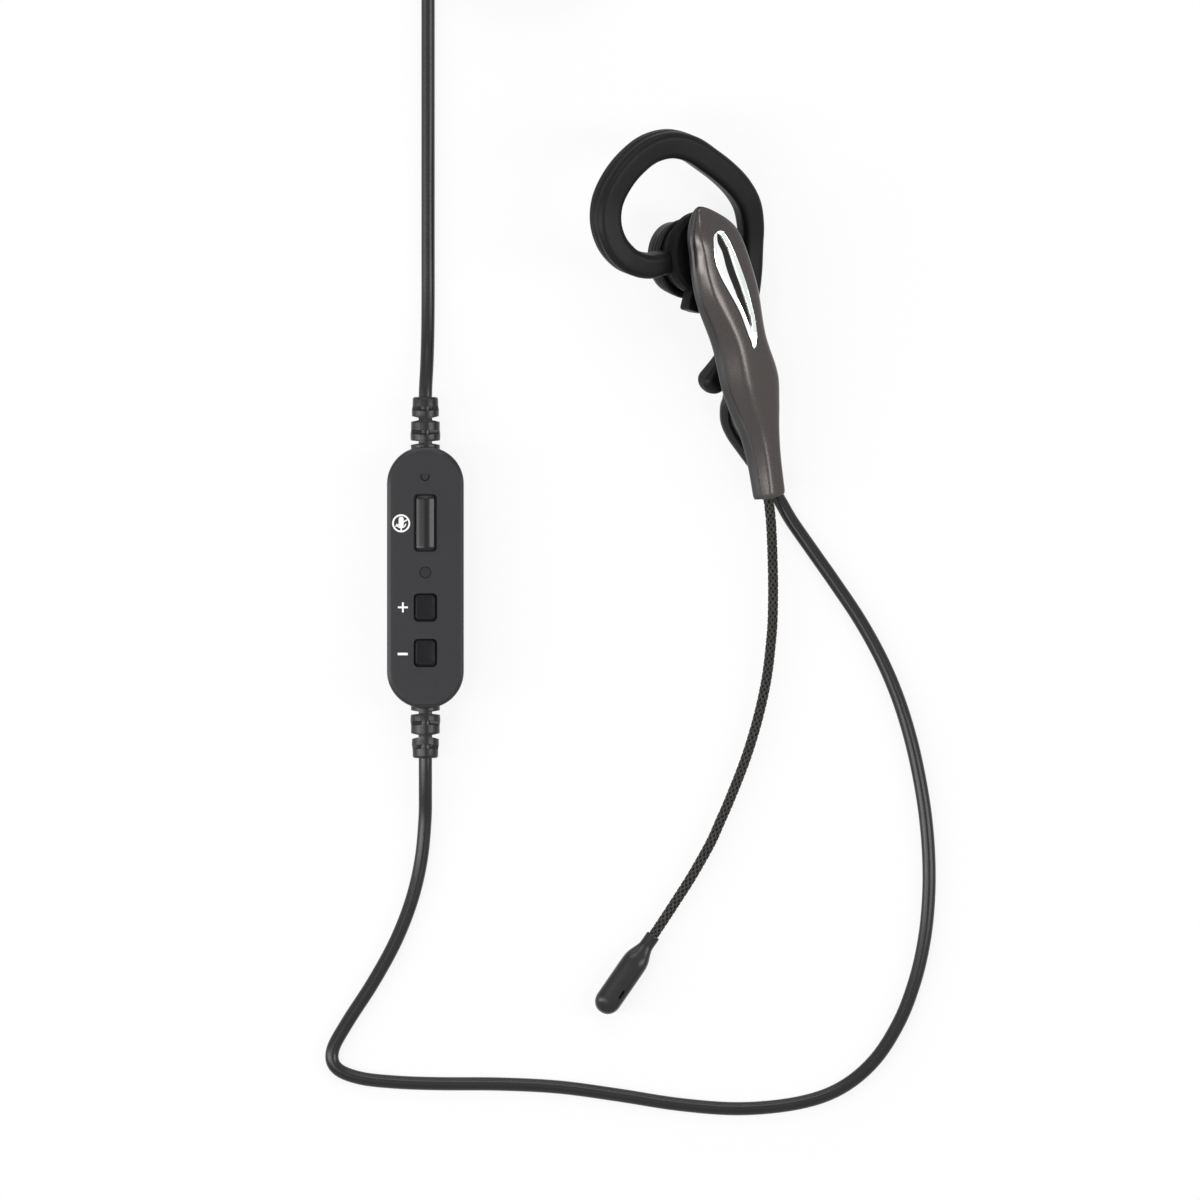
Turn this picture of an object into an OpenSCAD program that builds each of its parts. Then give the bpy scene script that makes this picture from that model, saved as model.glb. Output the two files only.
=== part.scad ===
// Single-ear headset with an ear hook, a gooseneck boom microphone and a control box on its cord.
// Everything is in millimetres. The headset lies on the plane z = 0, with +Z up.
// +Y runs from the microphone to the crown of the ear hook, and +X is the wearer's front.
// The origin is below the middle of the ear piece and its boom.

/* [Ear housing] */
// Length of the housing from its lower end to its crown
housing_len = 79; // [74:0.5:86]
// Width of the housing across its upper lobe
lobe_w = 17.3; // [16:0.1:19]
// Width of the housing at its waist, under the lobe
waist_w = 13.9; // [12.5:0.1:15]
// Width of the swell between waist and stem
swell_w = 15.2; // [14:0.1:17]
// Width of the stem at the housing's lower end
stem_w = 7; // [6.4:0.1:8]
// Depth of the painted front cover, in front of the seam
cover_depth = 6.5; // [5.8:0.1:7.5]
// Depth of the rear shell, behind the seam
rear_depth = 3; // [2.8:0.1:4]
// Wall of both housing shells
housing_wall = 1.2; // [1:0.05:1.5]
// Step by which the rear shell stands in from the cover at the seam
seam_step = 0.3; // [0.1:0.05:0.6]
// Share by which the cover's left side is lower than its middle
cover_lean = 0.35; // [0:0.05:0.4]
// Height of the seam over its own middle plane, at the housing's lower end
seam_rise = 1; // [0:0.1:1.2]
// Turn of the housing about its own length, as it lies
housing_yaw = 42; // [38:1:46]
// Rise of the housing from its lower end to its crown
housing_pitch = 10; // [9:0.5:12]
// Lean of the housing to the left at its crown
housing_roll = 11.3; // [8:0.1:14]

/* [Leaf trim] */
// Length of the plated leaf
leaf_len = 32.6; // [28:0.2:34]
// Width of the plated leaf
leaf_w = 8.1; // [6:0.1:8.5]
// Thickness of the plated leaf
leaf_t = 1.4; // [1:0.1:1.8]
// Height of the leaf's rim over the cover
leaf_rim = 0.35; // [0.1:0.05:0.6]
// Depth of the dish inside the leaf's rim
leaf_dish = 0.7; // [0.3:0.05:0.9]

/* [Ear hook] */
// Radius of the hook's ring, behind the housing
ring_r = 10; // [9:0.1:10.5]
// Thickness of the hook's ring
ring_t = 5.9; // [5.6:0.1:6.4]
// Side of the hook's rounded square section
hook_side = 6.9; // [6.4:0.1:7.1]
// Side of that section along the tail
hook_tail_side = 5.2; // [4.8:0.1:5.3]
// Depth of the parting groove round the hook's outer edge
hook_groove = 0.35; // [0.1:0.05:0.5]
// Reach of the thumb tab from the ring's centre
tab_reach = 14.6; // [13:0.1:16]
// Width of the thumb tab
tab_w = 7; // [5:0.1:9]

/* [Speaker] */
// Radius of the neck that the hook's ring turns on
neck_r = 4.5; // [4:0.1:5]
// Running clearance between neck and ring
neck_gap = 0.05; // [0.03:0.01:0.08]
// Radius of the speaker cup
cup_r = 8.9; // [8.6:0.1:9.2]
// Depth of the speaker cup
cup_depth = 6; // [5.5:0.1:6.5]
// Wall of the speaker cup
cup_wall = 1.2; // [0.8:0.1:1.4]
// Radius of the rubber ear tip round the cup
tip_r = 10.4; // [10.2:0.1:10.7]
// Height of the ear tip's dome beyond the cup
tip_dome = 3.3; // [2.6:0.1:3.3]

/* [Boom] */
// Diameter of the braided boom
boom_d = 2.7; // [2.4:0.1:3]
// Diameter of the microphone sleeve
mic_d = 6.8; // [6.4:0.1:7]
// Length of the microphone sleeve
mic_len = 24.2; // [23:0.1:26]
// Diameter of the microphone capsule in the sleeve
capsule_d = 4; // [3:0.1:4.4]

/* [Control box] */
// Width of the control box
box_w = 20; // [19:0.2:23]
// Length of the control box
box_len = 68; // [67:0.5:72]
// Height of the control box
box_h = 11; // [11:0.2:13]
// Wall of its shells
box_wall = 1.4; // [1.2:0.1:1.6]
// Radius of its rounded top and bottom edges
box_edge = 1.6; // [1:0.1:2]
// Width of the three keys
key_w = 5.4; // [5:0.1:6]
// Length of the mute key
mute_len = 14.4; // [13:0.1:14.8]
// Length of the two volume keys
volume_len = 6.7; // [5.5:0.1:7]
// Gap round a key in its opening
key_gap = 0.35; // [0.25:0.05:0.5]
// Height of the keys over the box
key_proud = 0.7; // [0.6:0.1:1.2]
// Travel of the keys
key_travel = 0.5; // [0.3:0.05:0.5]
// Diameter of the light pipe
light_d = 2.8; // [2:0.1:3.2]

/* [Cord] */
// Diameter of the cord
cord_d = 3.5; // [3.2:0.1:3.6]
// Turns in each layer of the coil
coil_turns = 3; // [3:1:3]
// Layers of the coil
coil_layers = 4; // [2:2:4]
// Radius of the coil's innermost turn
coil_inner_r = 13.4; // [13:0.1:16]
// Pitch of turns and layers beyond the cord's diameter
coil_gap = 0.45; // [0.42:0.01:0.8]
// Thickness of the strap that ties the coil
tie_t = 0.8; // [0.6:0.1:1]
// Width of that strap
tie_w = 8; // [6:0.5:10]

/* [Plug] */
// Width of the USB-A plug's metal shell
usb_w = 12; // [12:0.1:12]
// Height of the metal shell
usb_h = 4.5; // [4.5:0.1:4.5]
// Length of the metal shell outside the overmould
usb_len = 12; // [11.8:0.1:12.5]
// Sheet thickness of the metal shell
usb_sheet = 0.3; // [0.25:0.05:0.4]
// Width of the overmould
grip_w = 15.5; // [14:0.1:18]
// Height of the overmould
grip_h = 7.6; // [7:0.1:9]
// Length of the overmould
grip_len = 24; // [20:0.5:30]

/* [Hidden] */

$fn = 48;
small = 0.1;      // running gap between pieces that touch
overrun = 1;      // how far a cut runs past the face that it opens

// The housing's lower end, at its seam
housing_foot = [20.9, 19.2, 7.6];
housing_rings = 26;
housing_steps = 16;
squareness = 4;                    // exponent of the housing's section
crown_start = housing_len - 10;    // where the crown begins to round off
crown_point = 2;                   // how pointed the crown is
min_scale = 0.08;                  // the crown's last ring, as a share of the lobe

// Height up the housing, its width there, the cover's and rear shell's depths and the sideways shift
stations = [
    [0, stem_w, cover_depth - 2, rear_depth - 0.6, 0.5],
    [10, stem_w + 0.6, cover_depth - 1.7, rear_depth - 0.5, 1.1],
    [17, stem_w + 2.5, cover_depth - 1.4, rear_depth - 0.4, 1.4],
    [24, swell_w - 2.2, cover_depth - 0.8, rear_depth - 0.2, 1.3],
    [31, swell_w, cover_depth - 0.3, rear_depth, 1.3],
    [42, waist_w, cover_depth - 0.1, rear_depth, 0.3],
    [housing_len - 25, lobe_w + 0.2, cover_depth, rear_depth, -0.3],
    [housing_len - 17, lobe_w, cover_depth, rear_depth, -0.4],
    [housing_len - 11, lobe_w - 1.7, cover_depth, rear_depth, -0.4],
    [housing_len - 6, lobe_w - 3.8, cover_depth, rear_depth, -1.2],
    [housing_len, lobe_w - 9, cover_depth, rear_depth, -3]
];

// The neck's place up the housing, and what is stacked along it behind the seam
neck_up = housing_len - 14;
spacer_r = 5.9;
spacer_t = 1.4;
tab_turn = -25;
ring_top = -rear_depth - spacer_t - small;
ring_bottom = ring_top - ring_t;
washer_t = 0.4;
washer_r = 8;
cup_top = ring_bottom - washer_t - 2 * small;
cup_bottom = cup_top - cup_depth;
nut_t = 1.5;
nut_lift = 0.3;    // height of the nut over the shell's floor, clear of its round corners
nut_r = 5.5;
wire_hole_r = 2.2;
driver_r = cup_r - cup_wall - small;
magnet_r = 5;
driver_t = 1.6;
magnet_t = 1.7;
grille_t = 0.5;
grille_hole_r = 0.6;
grille_pitch = 2.3;
tip_lip = 0.4;
tip_mouth_r = 4.2;

// The two screws that hold the rear shell to the cover, as heights up the housing
screw_ups = [12, 41];
screw_r = 0.9;
screw_head_r = 1.6;
screw_head_t = 0.8;
screw_len = 5;
post_r = 2;

// The leaf's top and bottom on the cover, as [across, up]
leaf_top = [-2.9, housing_len - 6.6];
leaf_lean = 7;
leaf_bow = 1.1;
leaf_steps = 22;
leaf_across = 10;
leaf_gap = 0.08;
leaf_seat = 0.9;    // how far the leaf's foot lies under the cover's face at its rim

// Centre line of the hook, from its root in the ring to the tip of its tail
hook_route = [
    [-2.6, 80.5, 18.2], [-6.2, 79.9, 20.8], [-9.3, 79.4, 22.3], [-12.6, 79.9, 23.6], [-15.9, 81.6, 24.8],
    [-19, 85.3, 26], [-20.6, 90.5, 26.8], [-20.1, 96.3, 27], [-17.4, 101.9, 26.4], [-13.6, 106.5, 25],
    [-9.2, 109.8, 23], [-4, 111.1, 20.6], [1.1, 109.9, 17.8], [5.4, 107.1, 15], [9.7, 103.8, 12],
    [13.4, 100, 9.2], [16, 95.5, 6.8], [17, 90.2, 5], [17, 84.5, 4], [16.9, 78.2, 3.5],
    [16.3, 71.8, 3.3], [14.9, 65.4, 3.4], [13, 60.4, 3.8], [11.4, 56.8, 4.2], [9.5, 53.2, 4.8],
    [7, 49.4, 5.5]
];
hook_up = [0.45, -0.2, 0.87];      // normal of the hook's broad faces
hook_corner = 1.5;                 // rounding of the hook's section
hook_bulb = 1.24;                  // swelling of the tail's tip
tip_room = 4;                      // depth under the ring that is kept free for the washer and the ear tip
// The section's side along the hook, by the share of the hook's length
hook_sides = [
    [0, hook_side - 0.9], [0.12, hook_side], [0.55, hook_side], [0.75, hook_tail_side + 0.5],
    [0.92, hook_tail_side], [1, hook_tail_side * hook_bulb]
];

// Centre line of the boom in its three stretches; the last point of one is the bend of the next
boom_up_route = [
    [20, 27, 9.9], [20.9, 22.6, 9], [21.7, 18.6, 8.2], [22.3, 13.4, 7.2], [22.6, 8, 6.3], [22.8, 2, 5.5],
    [22.9, -4, 4.9], [22.8, -10, 4.5]
];
boom_mid_route = [
    [22.8, -12, 4.4], [22.4, -18, 4.1], [21.2, -28, 3.7], [18.9, -38.5, 3.5], [15.7, -49, 3.4],
    [11.6, -59.5, 3.3], [10, -63.2, 3.3]
];
boom_low_route = [
    [9.2, -65, 3.3], [7, -70, 3.3], [4.3, -75, 3.3], [1.2, -80.3, 3.3], [-2.2, -85.6, 3.3],
    [-5.6, -90.8, 3.4], [-8.2, -94.7, mic_d / 2 + 0.05], [-10.4, -97.9, mic_d / 2 + 0.05]
];
boom_sides = 12;

// The microphone sleeve's axis
mic_root = [-8.2, -94.7, mic_d / 2 + 0.05];
mic_turn = -34.6;     // from -Y towards -X
mic_neck = 3.7;       // length of the sleeve's neck round the boom
mic_shoulder = 3.8;   // length of the sleeve's shoulders
port_at = 17.4;       // the sound slot's middle, from the sleeve's root
port_turn = 35;       // the slot's turn from the top, towards the wearer's front
port_w = 0.6;
port_len = 2.4;

// The control box's middle on the surface, and its inside
box_at = [-67.5, -1.7, 0];
box_corner = box_w / 2 - 0.4;
seam_z = box_h / 2;
key_recess = 0.8;
mute_y = 14.2;
light_y = 1.3;
up_y = -7.8;
down_y = -19.6;
flange_t = 0.8;
flange_out = 0.7;
flange_drop = 0.15;
stem_gap = 0.1;
board_top = 5;
board_t = 1;
board_w = 14;
board_len = 43;
board_y = -0.6;
switch_side = 4.5;
switch_h = box_h - box_wall - flange_drop - flange_t - key_travel - stem_gap - board_top;
box_screw_y = [27, -27];
box_post_r = 2.2;
relief_z = seam_z;
relief_r = 3.7;
relief_core_r = 1.9;
relief_len = 12.7;
relief_flange_r = 3.9;
relief_flange_t = 0.6;
gland_r = 3;
relief_end = box_len / 2 + relief_len;    // the reliefs' tips, from the box's middle

lay = cord_d / 2;                  // height of the cord's centre line where it lies on the surface
coil_start = [-66.8, 178, tie_t + small + cord_d / 2];
// Centre line of the cord from the ear piece to the control box
earpiece_route = [
    [11.5, 44.6, 7.9], [10.8, 42.6, 6.8], [10.9, 39, 4.9], [12.4, 35.5, 3.5], [15, 31.8, 2.4], [17.7, 28.2, 1.9],
    [21.2, 23.9, lay], [24.6, 18.4, lay], [27.6, 13.2, lay], [32.6, 6, lay], [39.2, -3.4, lay],
    [45.6, -13, lay], [51.2, -23.2, lay], [55.5, -33.4, lay], [58.7, -43.8, lay], [61, -54.2, lay],
    [62.6, -64.6, lay], [63.4, -75.2, lay], [63.3, -85.6, lay], [62.2, -96, lay], [59.8, -106.5, lay],
    [55.7, -117.2, lay], [49.2, -127.3, lay], [40.4, -134.5, lay], [29.5, -138.3, lay], [14.4, -139.8, lay],
    [-1.4, -138.7, lay], [-17, -136.3, lay], [-32.6, -134.2, lay], [-48, -133.4, lay], [-63.6, -133.3, lay],
    [-75, -132.9, lay], [-84.6, -131.8, lay], [-90.6, -129.2, lay], [-91.6, -124.6, lay],
    [-87.8, -117.4, lay], [-81.1, -107, lay], [-75.2, -96.2, lay], [-71, -85.4, lay], [-68.6, -75, lay + 0.2],
    [-67.6, -64.6, 2.8], [-67.5, -57, relief_z - 1.1], [-67.5, box_at[1] - relief_end - 3.4, relief_z - 0.3],
    [box_at[0], box_at[1] - relief_end, relief_z]
];
// Centre line of the cord from the control box to its coil
plug_route = [
    [box_at[0], box_at[1] + relief_end, relief_z], [-67.4, box_at[1] + relief_end + 3.4, relief_z - 0.3],
    [-67.1, 54, relief_z - 1.4], [-66.9, 61, 2.6], [-66.8, 70, lay + 0.1],
    [-66.8, 82, lay], [-66.8, 96, lay], [-66.8, 112, lay], [-66.8, 128, lay], [-66.8, 144, lay],
    [-66.8, 157, lay + 0.2], [-66.8, 168, lay + 0.6], [-66.8, 178 - cord_d, coil_start[2]]
];
coil_lead = cord_d;                       // straight end of the coil, at both its ends
coil_pitch = cord_d + coil_gap;
coil_outer_r = coil_inner_r + coil_turns * coil_pitch;
coil_at = [coil_start[0] + coil_outer_r, coil_start[1], coil_start[2]];
coil_ring = 24;
coil_sides = 6;
coil_count = coil_turns * coil_layers;
tail_z = coil_start[2] + (coil_layers - 1) * coil_pitch;
// Centre line of the cord from its coil to the plug
tail_route = [
    [-66.8, 178 + coil_lead, tail_z], [-66.8, 186, tail_z - 0.3], [-66.6, 191, tail_z - 1.3],
    [-65, 196.6, tail_z - 3.4], [-61.6, 201.8, tail_z - 6], [-56.2, 205.9, tail_z - 8.3],
    [-46, 207.4, grip_h / 2 + 0.5], [-41, 208.3, grip_h / 2 + 0.1], [-36.6, 208.5, grip_h / 2]
];
plug_at = [tail_route[8][0], tail_route[8][1], grip_h / 2];
cord_sides = 8;
tie_gap = 0.35;

// ---- vectors and curves ----

function unit(v) = v / norm(v);
function blend(a, b, s) = a + (b - a) * s;

// The slope of a table at one of its rows, and the table read smoothly between its rows
function row_slope(t, i) =
    let (a = max(i - 1, 0), b = min(i + 1, len(t) - 1))
    (t[b] - t[a]) / (t[b][0] - t[a][0]);
function row_before(t, x, i = 0) = i >= len(t) - 2 || x < t[i + 1][0] ? i : row_before(t, x, i + 1);
function read_table(t, x) =
    let (i = row_before(t, x), h = t[i + 1][0] - t[i][0], s = (x - t[i][0]) / h)
    (2 * s * s * s - 3 * s * s + 1) * t[i] + (s * s * s - 2 * s * s + s) * h * row_slope(t, i)
    + (3 * s * s - 2 * s * s * s) * t[i + 1] + (s * s * s - s * s) * h * row_slope(t, i + 1);

// A smooth curve through a route's points, with a number of steps from each point to the next
function knot(p, i) = p[max(0, min(len(p) - 1, i))];
function curve_point(p, i, s) =
    let (a = knot(p, i - 1), b = p[i], c = knot(p, i + 1), d = knot(p, i + 2))
    b + 0.5 * s * (c - a + s * (2 * a - 5 * b + 4 * c - d + s * (3 * (b - c) + d - a)));
function curve(p, steps) = [
    for (i = [0 : len(p) - 2], k = [0 : steps - 1]) curve_point(p, i, k / steps),
    p[len(p) - 1]
];
function heading(p, i) = unit(p[min(i + 1, len(p) - 1)] - p[max(i - 1, 0)]);

// ---- swept and lofted solids ----

// Closes a list of rings, each a list of points, into one solid
module skin(rings) {
    m = len(rings[0]);
    n = len(rings);
    polyhedron(
        points = [for (r = rings) each r],
        faces = [
            [for (j = [0 : m - 1]) m - 1 - j],
            [for (j = [0 : m - 1]) (n - 1) * m + j],
            for (i = [0 : n - 2], j = [0 : m - 1])
                let (a = i * m + j, b = i * m + (j + 1) % m) each [[a, b, b + m], [a, b + m, a + m]]
        ]
    );
}

// A ring of an outline's points, across a heading, with its second axis near a given up
function placed(outline, at, along, up) =
    let (side = unit(cross(along, up)), top = cross(side, along))
    [for (p = outline) at + p[0] * side + p[1] * top];
function round_outline(r, sides) = [for (k = [0 : sides - 1]) r * [cos(360 * k / sides), sin(360 * k / sides)]];

// A tube along points, square at both ends; the ends' headings can be given
module tube(points, r, sides, first = undef, last = undef) {
    n = len(points) - 1;
    skin([
        for (i = [0 : n])
            let (h = i == 0 && first != undef ? first : i == n && last != undef ? last : heading(points, i))
            placed(round_outline(r, sides), points[i], h, [0, 0, 1])
    ]);
}

// A tube whose first end is a ball about its first point
module ball_tube(points, r, sides) {
    h = heading(points, 0);
    n = len(points) - 1;
    skin([
        for (a = [80 : -20 : 20]) placed(round_outline(r * cos(a), sides), points[0] - h * r * sin(a), h, [0, 0, 1]),
        for (i = [0 : n]) placed(round_outline(r, sides), points[i], heading(points, i), [0, 0, 1])
    ]);
}

// A plate with round corners
module rounded(w, l, r) {
    square([w - 2 * r, l], center = true);
    square([w, l - 2 * r], center = true);
    for (x = [-1, 1], y = [-1, 1])
        translate([x * (w / 2 - r), y * (l / 2 - r)]) circle(r);
}

// ---- ear housing ----

module at_housing() {
    translate(housing_foot) rotate([0, 0, housing_roll]) rotate([housing_pitch, 0, 0]) rotate([0, housing_yaw, 0])
        children();
}
module at_neck() {
    at_housing() translate([0, neck_up, 0]) children();
}

// How far the crown has closed at a height, from 1 down to 0
function crown(up, top, power) =
    let (s = max(0, (up - crown_start) / (top - crown_start)))
    max(min_scale, pow(max(0, 1 - pow(s, crown_point)), power));
// Half width, cover depth, rear depth and shift at a height, for a skin that lies some way in
function size_at(up, inset) =
    let (t = read_table(stations, up), top = housing_len - inset)
    let (c = crown(up, top, 0.5), d = crown(up, top, 0.5))
    [(t[1] / 2 - inset) * c, (t[2] - inset) * d, (t[3] - inset) * d, t[4]];
// How much of the cover's depth is left at a share of its half width, where the left side is below 0
function lean(across) = 1 - cover_lean * pow(max(0, -across), 1.5);
// The seam's height at a height up the housing: it rises towards the lower end
function seam_at(up) = seam_rise * pow(max(0, 1 - up / neck_up), 0.6);
// One point of a skin: turn 0 is the seam at the right, 90 the middle and 180 the seam at the left
function skin_point(up, turn, inset, side, shrink) =
    let (t = size_at(up, inset), q = 2 / squareness, across = sign(cos(turn)) * pow(abs(cos(turn)), q))
    let (high = shrink * pow(max(0, sin(turn)), q))
    [
        t[3] + (t[0] - (side > 0 ? 0 : seam_step)) * shrink * across,
        up,
        side > 0 ? max(seam_at(up), t[1] * high * lean(across)) : high > 0.01 ? -t[2] * high : seam_at(up)
    ];
// Heights of the rings: the lower end's rounding, even steps, then closer steps round the crown
function ring_up(i, inset) =
    let (s = i / housing_rings, top = housing_len - inset, low = inset)
    low + (top - low) * (s < 0.6 ? s * 1.15 : 0.69 + 0.31 * sin(90 * (s - 0.6) / 0.4));
function ring_shrink(i) = i == 0 ? 0.9 : 1;
// The front face's height over the seam at a place on the cover
function cover_face(across, up) =
    let (t = size_at(up, 0), a = max(-1, min(1, (across - t[3]) / t[0])))
    t[1] * lean(a) * pow(1 - pow(abs(a), squareness), 1 / squareness);

// Half of the housing as a shell open at the seam: side 1 is the cover, -1 the rear shell
module half_shell(side) {
    n = housing_rings;
    m = housing_steps;
    row = m + 1;
    inner = (n + 1) * row;
    outer_skin = [for (i = [0 : n], j = [0 : m]) skin_point(ring_up(i, 0), 180 * j / m, 0, side, ring_shrink(i))];
    inner_skin = [
        for (i = [0 : n], j = [0 : m])
            skin_point(ring_up(i, housing_wall), 180 * j / m, housing_wall, side, 1)
    ];
    rim = concat([for (i = [0 : n]) i * row], [for (i = [n : -1 : 0]) i * row + m]);
    faces = [
        for (i = [0 : n - 1], j = [0 : m - 1])
            let (a = i * row + j, b = a + row) each [[a, a + 1, b + 1], [a, b + 1, b]],
        for (i = [0 : n - 1], j = [0 : m - 1])
            let (a = inner + i * row + j, b = a + row) each [[a, b + 1, a + 1], [a, b, b + 1]],
        [for (j = [0 : m]) m - j],
        [for (j = [0 : m]) n * row + j],
        [for (j = [0 : m]) inner + j],
        [for (j = [0 : m]) inner + n * row + m - j],
        for (k = [0 : len(rim) - 1])
            let (a = rim[k], b = rim[(k + 1) % len(rim)])
            each [[a, b, inner + b], [a, inner + b, inner + a]]
    ];
    polyhedron(
        points = concat(outer_skin, inner_skin),
        faces = side > 0 ? faces : [for (f = faces) [for (k = [len(f) - 1 : -1 : 0]) f[k]]]
    );
}

// The leaf's outline: share of its length from the top, and share of its half width
function leaf_mid(s) = [
    leaf_top[0] + leaf_len * s * sin(leaf_lean) - leaf_bow * sin(180 * s),
    leaf_top[1] - leaf_len * s * cos(leaf_lean)
];
function leaf_half(s) = leaf_w / 2 * pow(sin(180 * pow(s, 0.75)), 0.85);
function leaf_outline(out) = concat(
    [for (k = [0 : leaf_steps]) let (s = k / leaf_steps) leaf_mid(s) - [leaf_half(s) + out, 0]],
    [for (k = [leaf_steps : -1 : 0]) let (s = k / leaf_steps) leaf_mid(s) + [leaf_half(s) + out, 0]]
);

module front_cover() {
    color([0.26, 0.23, 0.21])
    at_housing() difference() {
        union() {
            half_shell(1);
            for (up = screw_ups)
                translate([read_table(stations, up)[4], up, small])
                    cylinder(r = post_r, h = read_table(stations, up)[2] - housing_wall / 2);
        }
        translate([0, 0, cover_depth - 3]) linear_extrude(cover_depth) polygon(leaf_outline(leaf_gap));
        for (up = screw_ups)
            translate([read_table(stations, up)[4], up, small - overrun])
                cylinder(r = screw_r, h = screw_len + overrun - 1);
        boom_bore();
    }
}

// The hole in the housing's lower end that the boom goes through, and the seat of its anchor
module boom_bore() {
    translate([0, -overrun, 1]) rotate([-90, 0, 0]) {
        cylinder(d = boom_d + 2 * small, h = housing_wall + 2 * overrun);
        translate([0, 0, housing_wall + overrun])
            cylinder(r = boom_d / 2 + anchor_wall + 2 * small, h = anchor_len + 0.8);
    }
}

// Share of the leaf's length at a ring, clear of the two ends, where its width is nothing
function leaf_along(i) = 0.02 + 0.96 * (1 - cos(180 * i / leaf_steps)) / 2;
function leaf_place(i, j) =
    leaf_mid(leaf_along(i)) + [leaf_half(leaf_along(i)) * (2 * j / leaf_across - 1), 0];
// Height over the cover's face: a flat rim round a dish
function leaf_height(j) =
    let (q = abs(2 * j / leaf_across - 1)) leaf_rim - (q > 0.75 ? 0 : leaf_dish * (1 - q * q));
function leaf_ring(i) = [
    for (j = [0 : leaf_across])
        let (p = leaf_place(i, j)) [p[0], p[1], cover_face(p[0], p[1]) + leaf_height(j)],
    for (j = [leaf_across : -1 : 0])
        let (p = leaf_place(i, j)) [p[0], p[1], cover_face(p[0], p[1]) - leaf_seat]
];
module leaf_trim() {
    color([0.85, 0.86, 0.88])
    at_housing() skin([for (i = [0 : leaf_steps]) leaf_ring(i)]);
}

module rear_shell() {
    color([0.1, 0.1, 0.105])
    at_housing() difference() {
        union() {
            half_shell(-1);
            translate([0, neck_up, -rear_depth - spacer_t]) cylinder(r = spacer_r, h = spacer_t + housing_wall);
            for (up = screw_ups)
                translate([read_table(stations, up)[4], up, -read_table(stations, up)[3] + screw_head_t])
                    cylinder(r = post_r + 0.3, h = read_table(stations, up)[3] - screw_head_t);
        }
        translate([0, neck_up, -rear_depth - spacer_t - overrun]) cylinder(r = neck_r + small, h = rear_depth + overrun * 2);
        for (up = screw_ups)
            translate([read_table(stations, up)[4], up, -rear_depth - overrun]) {
                cylinder(r = screw_r + small, h = rear_depth + 2 * overrun);
                cylinder(r = screw_head_r + small, h = overrun + rear_depth - read_table(stations, up)[3] + screw_head_t);
            }
        boom_bore();
        at_boot() translate([0, 0, -4]) cylinder(r = boot_r + small, h = boot_way);
    }
}

// Two pan-head screws, driven in from behind
module housing_screws() {
    color([0.6, 0.6, 0.62])
    at_housing() for (up = screw_ups)
        translate([read_table(stations, up)[4], up, -read_table(stations, up)[3]]) difference() {
            union() {
                cylinder(r = screw_head_r, h = screw_head_t - small);
                cylinder(r = screw_r - small, h = screw_len + read_table(stations, up)[3] - 1.4);
            }
            for (a = [0, 90]) rotate(a) translate([-0.9, -0.2, -overrun]) cube([1.8, 0.4, overrun + 0.4]);
        }
}

// ---- speaker behind the housing ----

module neck_nut() {
    color([0.5, 0.42, 0.25])
    at_neck() translate([0, 0, -rear_depth + housing_wall + nut_lift]) difference() {
        cylinder(r = nut_r, h = nut_t, $fn = 6);
        translate([0, 0, -overrun]) cylinder(r = neck_r + small, h = nut_t + 2 * overrun);
    }
}

module speaker_cup() {
    color([0.07, 0.07, 0.075])
    at_neck() difference() {
        union() {
            translate([0, 0, cup_top - small]) cylinder(r = neck_r, h = small - cup_top - rear_depth + housing_wall + nut_t);
            translate([0, 0, cup_bottom]) cylinder(r = cup_r, h = cup_depth);
            translate([0, 0, cup_top - 1]) cylinder(r1 = cup_r, r2 = washer_r, h = 1);
        }
        translate([0, 0, cup_bottom - overrun])
            cylinder(r = cup_r - cup_wall, h = cup_depth - cup_wall - 0.6 + overrun);
        translate([0, 0, cup_bottom]) cylinder(r = wire_hole_r, h = 30);
    }
}

module speaker_driver() {
    color([0.35, 0.35, 0.37])
    at_neck() translate([0, 0, cup_bottom + grille_t + 0.2]) {
        cylinder(r = driver_r, h = driver_t);
        cylinder(r = magnet_r, h = driver_t + magnet_t);
    }
}

module speaker_grille() {
    color([0.2, 0.2, 0.21])
    at_neck() translate([0, 0, cup_bottom]) difference() {
        cylinder(r = driver_r, h = grille_t);
        for (a = [0 : 60 : 300], k = [1, 2]) rotate(a + 30 * k)
            translate([grille_pitch * k, 0, -overrun]) cylinder(r = grille_hole_r, h = grille_t + 2 * overrun);
        translate([0, 0, -overrun]) cylinder(r = grille_hole_r, h = grille_t + 2 * overrun);
    }
}

// Soft rubber tip: a lip round the cup, two grooves and a dome with a mouth in its middle
module ear_tip() {
    lip = cup_top - tip_lip;
    base = cup_bottom;
    color([0.05, 0.05, 0.055])
    at_neck() rotate_extrude() polygon([
        [cup_r + small, lip], [tip_r - 0.5, lip], [tip_r, lip - 0.4], [tip_r, lip - 1.2],
        [tip_r - 0.6, lip - 1.5], [tip_r - 0.7, lip - 1.8], [tip_r - 0.4, lip - 2.1],
        [tip_r - 0.5, lip - 2.9], [tip_r - 0.9, lip - 3.2], [tip_r - 1, lip - 3.5], [tip_r - 0.9, lip - 4],
        [tip_r - 1.4, base + 0.2], [tip_r - 1.9, base - 0.12 * tip_dome], [tip_r - 2.7, base - 0.33 * tip_dome],
        [tip_r - 3.9, base - 0.61 * tip_dome], [tip_r - 5.3, base - 0.88 * tip_dome],
        [tip_mouth_r + 0.6, base - tip_dome], [tip_mouth_r, base - tip_dome + 0.4],
        [tip_mouth_r, base - small], [cup_r + small, base - small]
    ]);
}

module friction_washer() {
    color([0.55, 0.55, 0.57])
    at_neck() translate([0, 0, ring_bottom - small - washer_t]) difference() {
        cylinder(r = washer_r, h = washer_t);
        translate([0, 0, -overrun]) cylinder(r = neck_r + small, h = washer_t + 2 * overrun);
    }
}

// ---- ear hook ----

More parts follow.
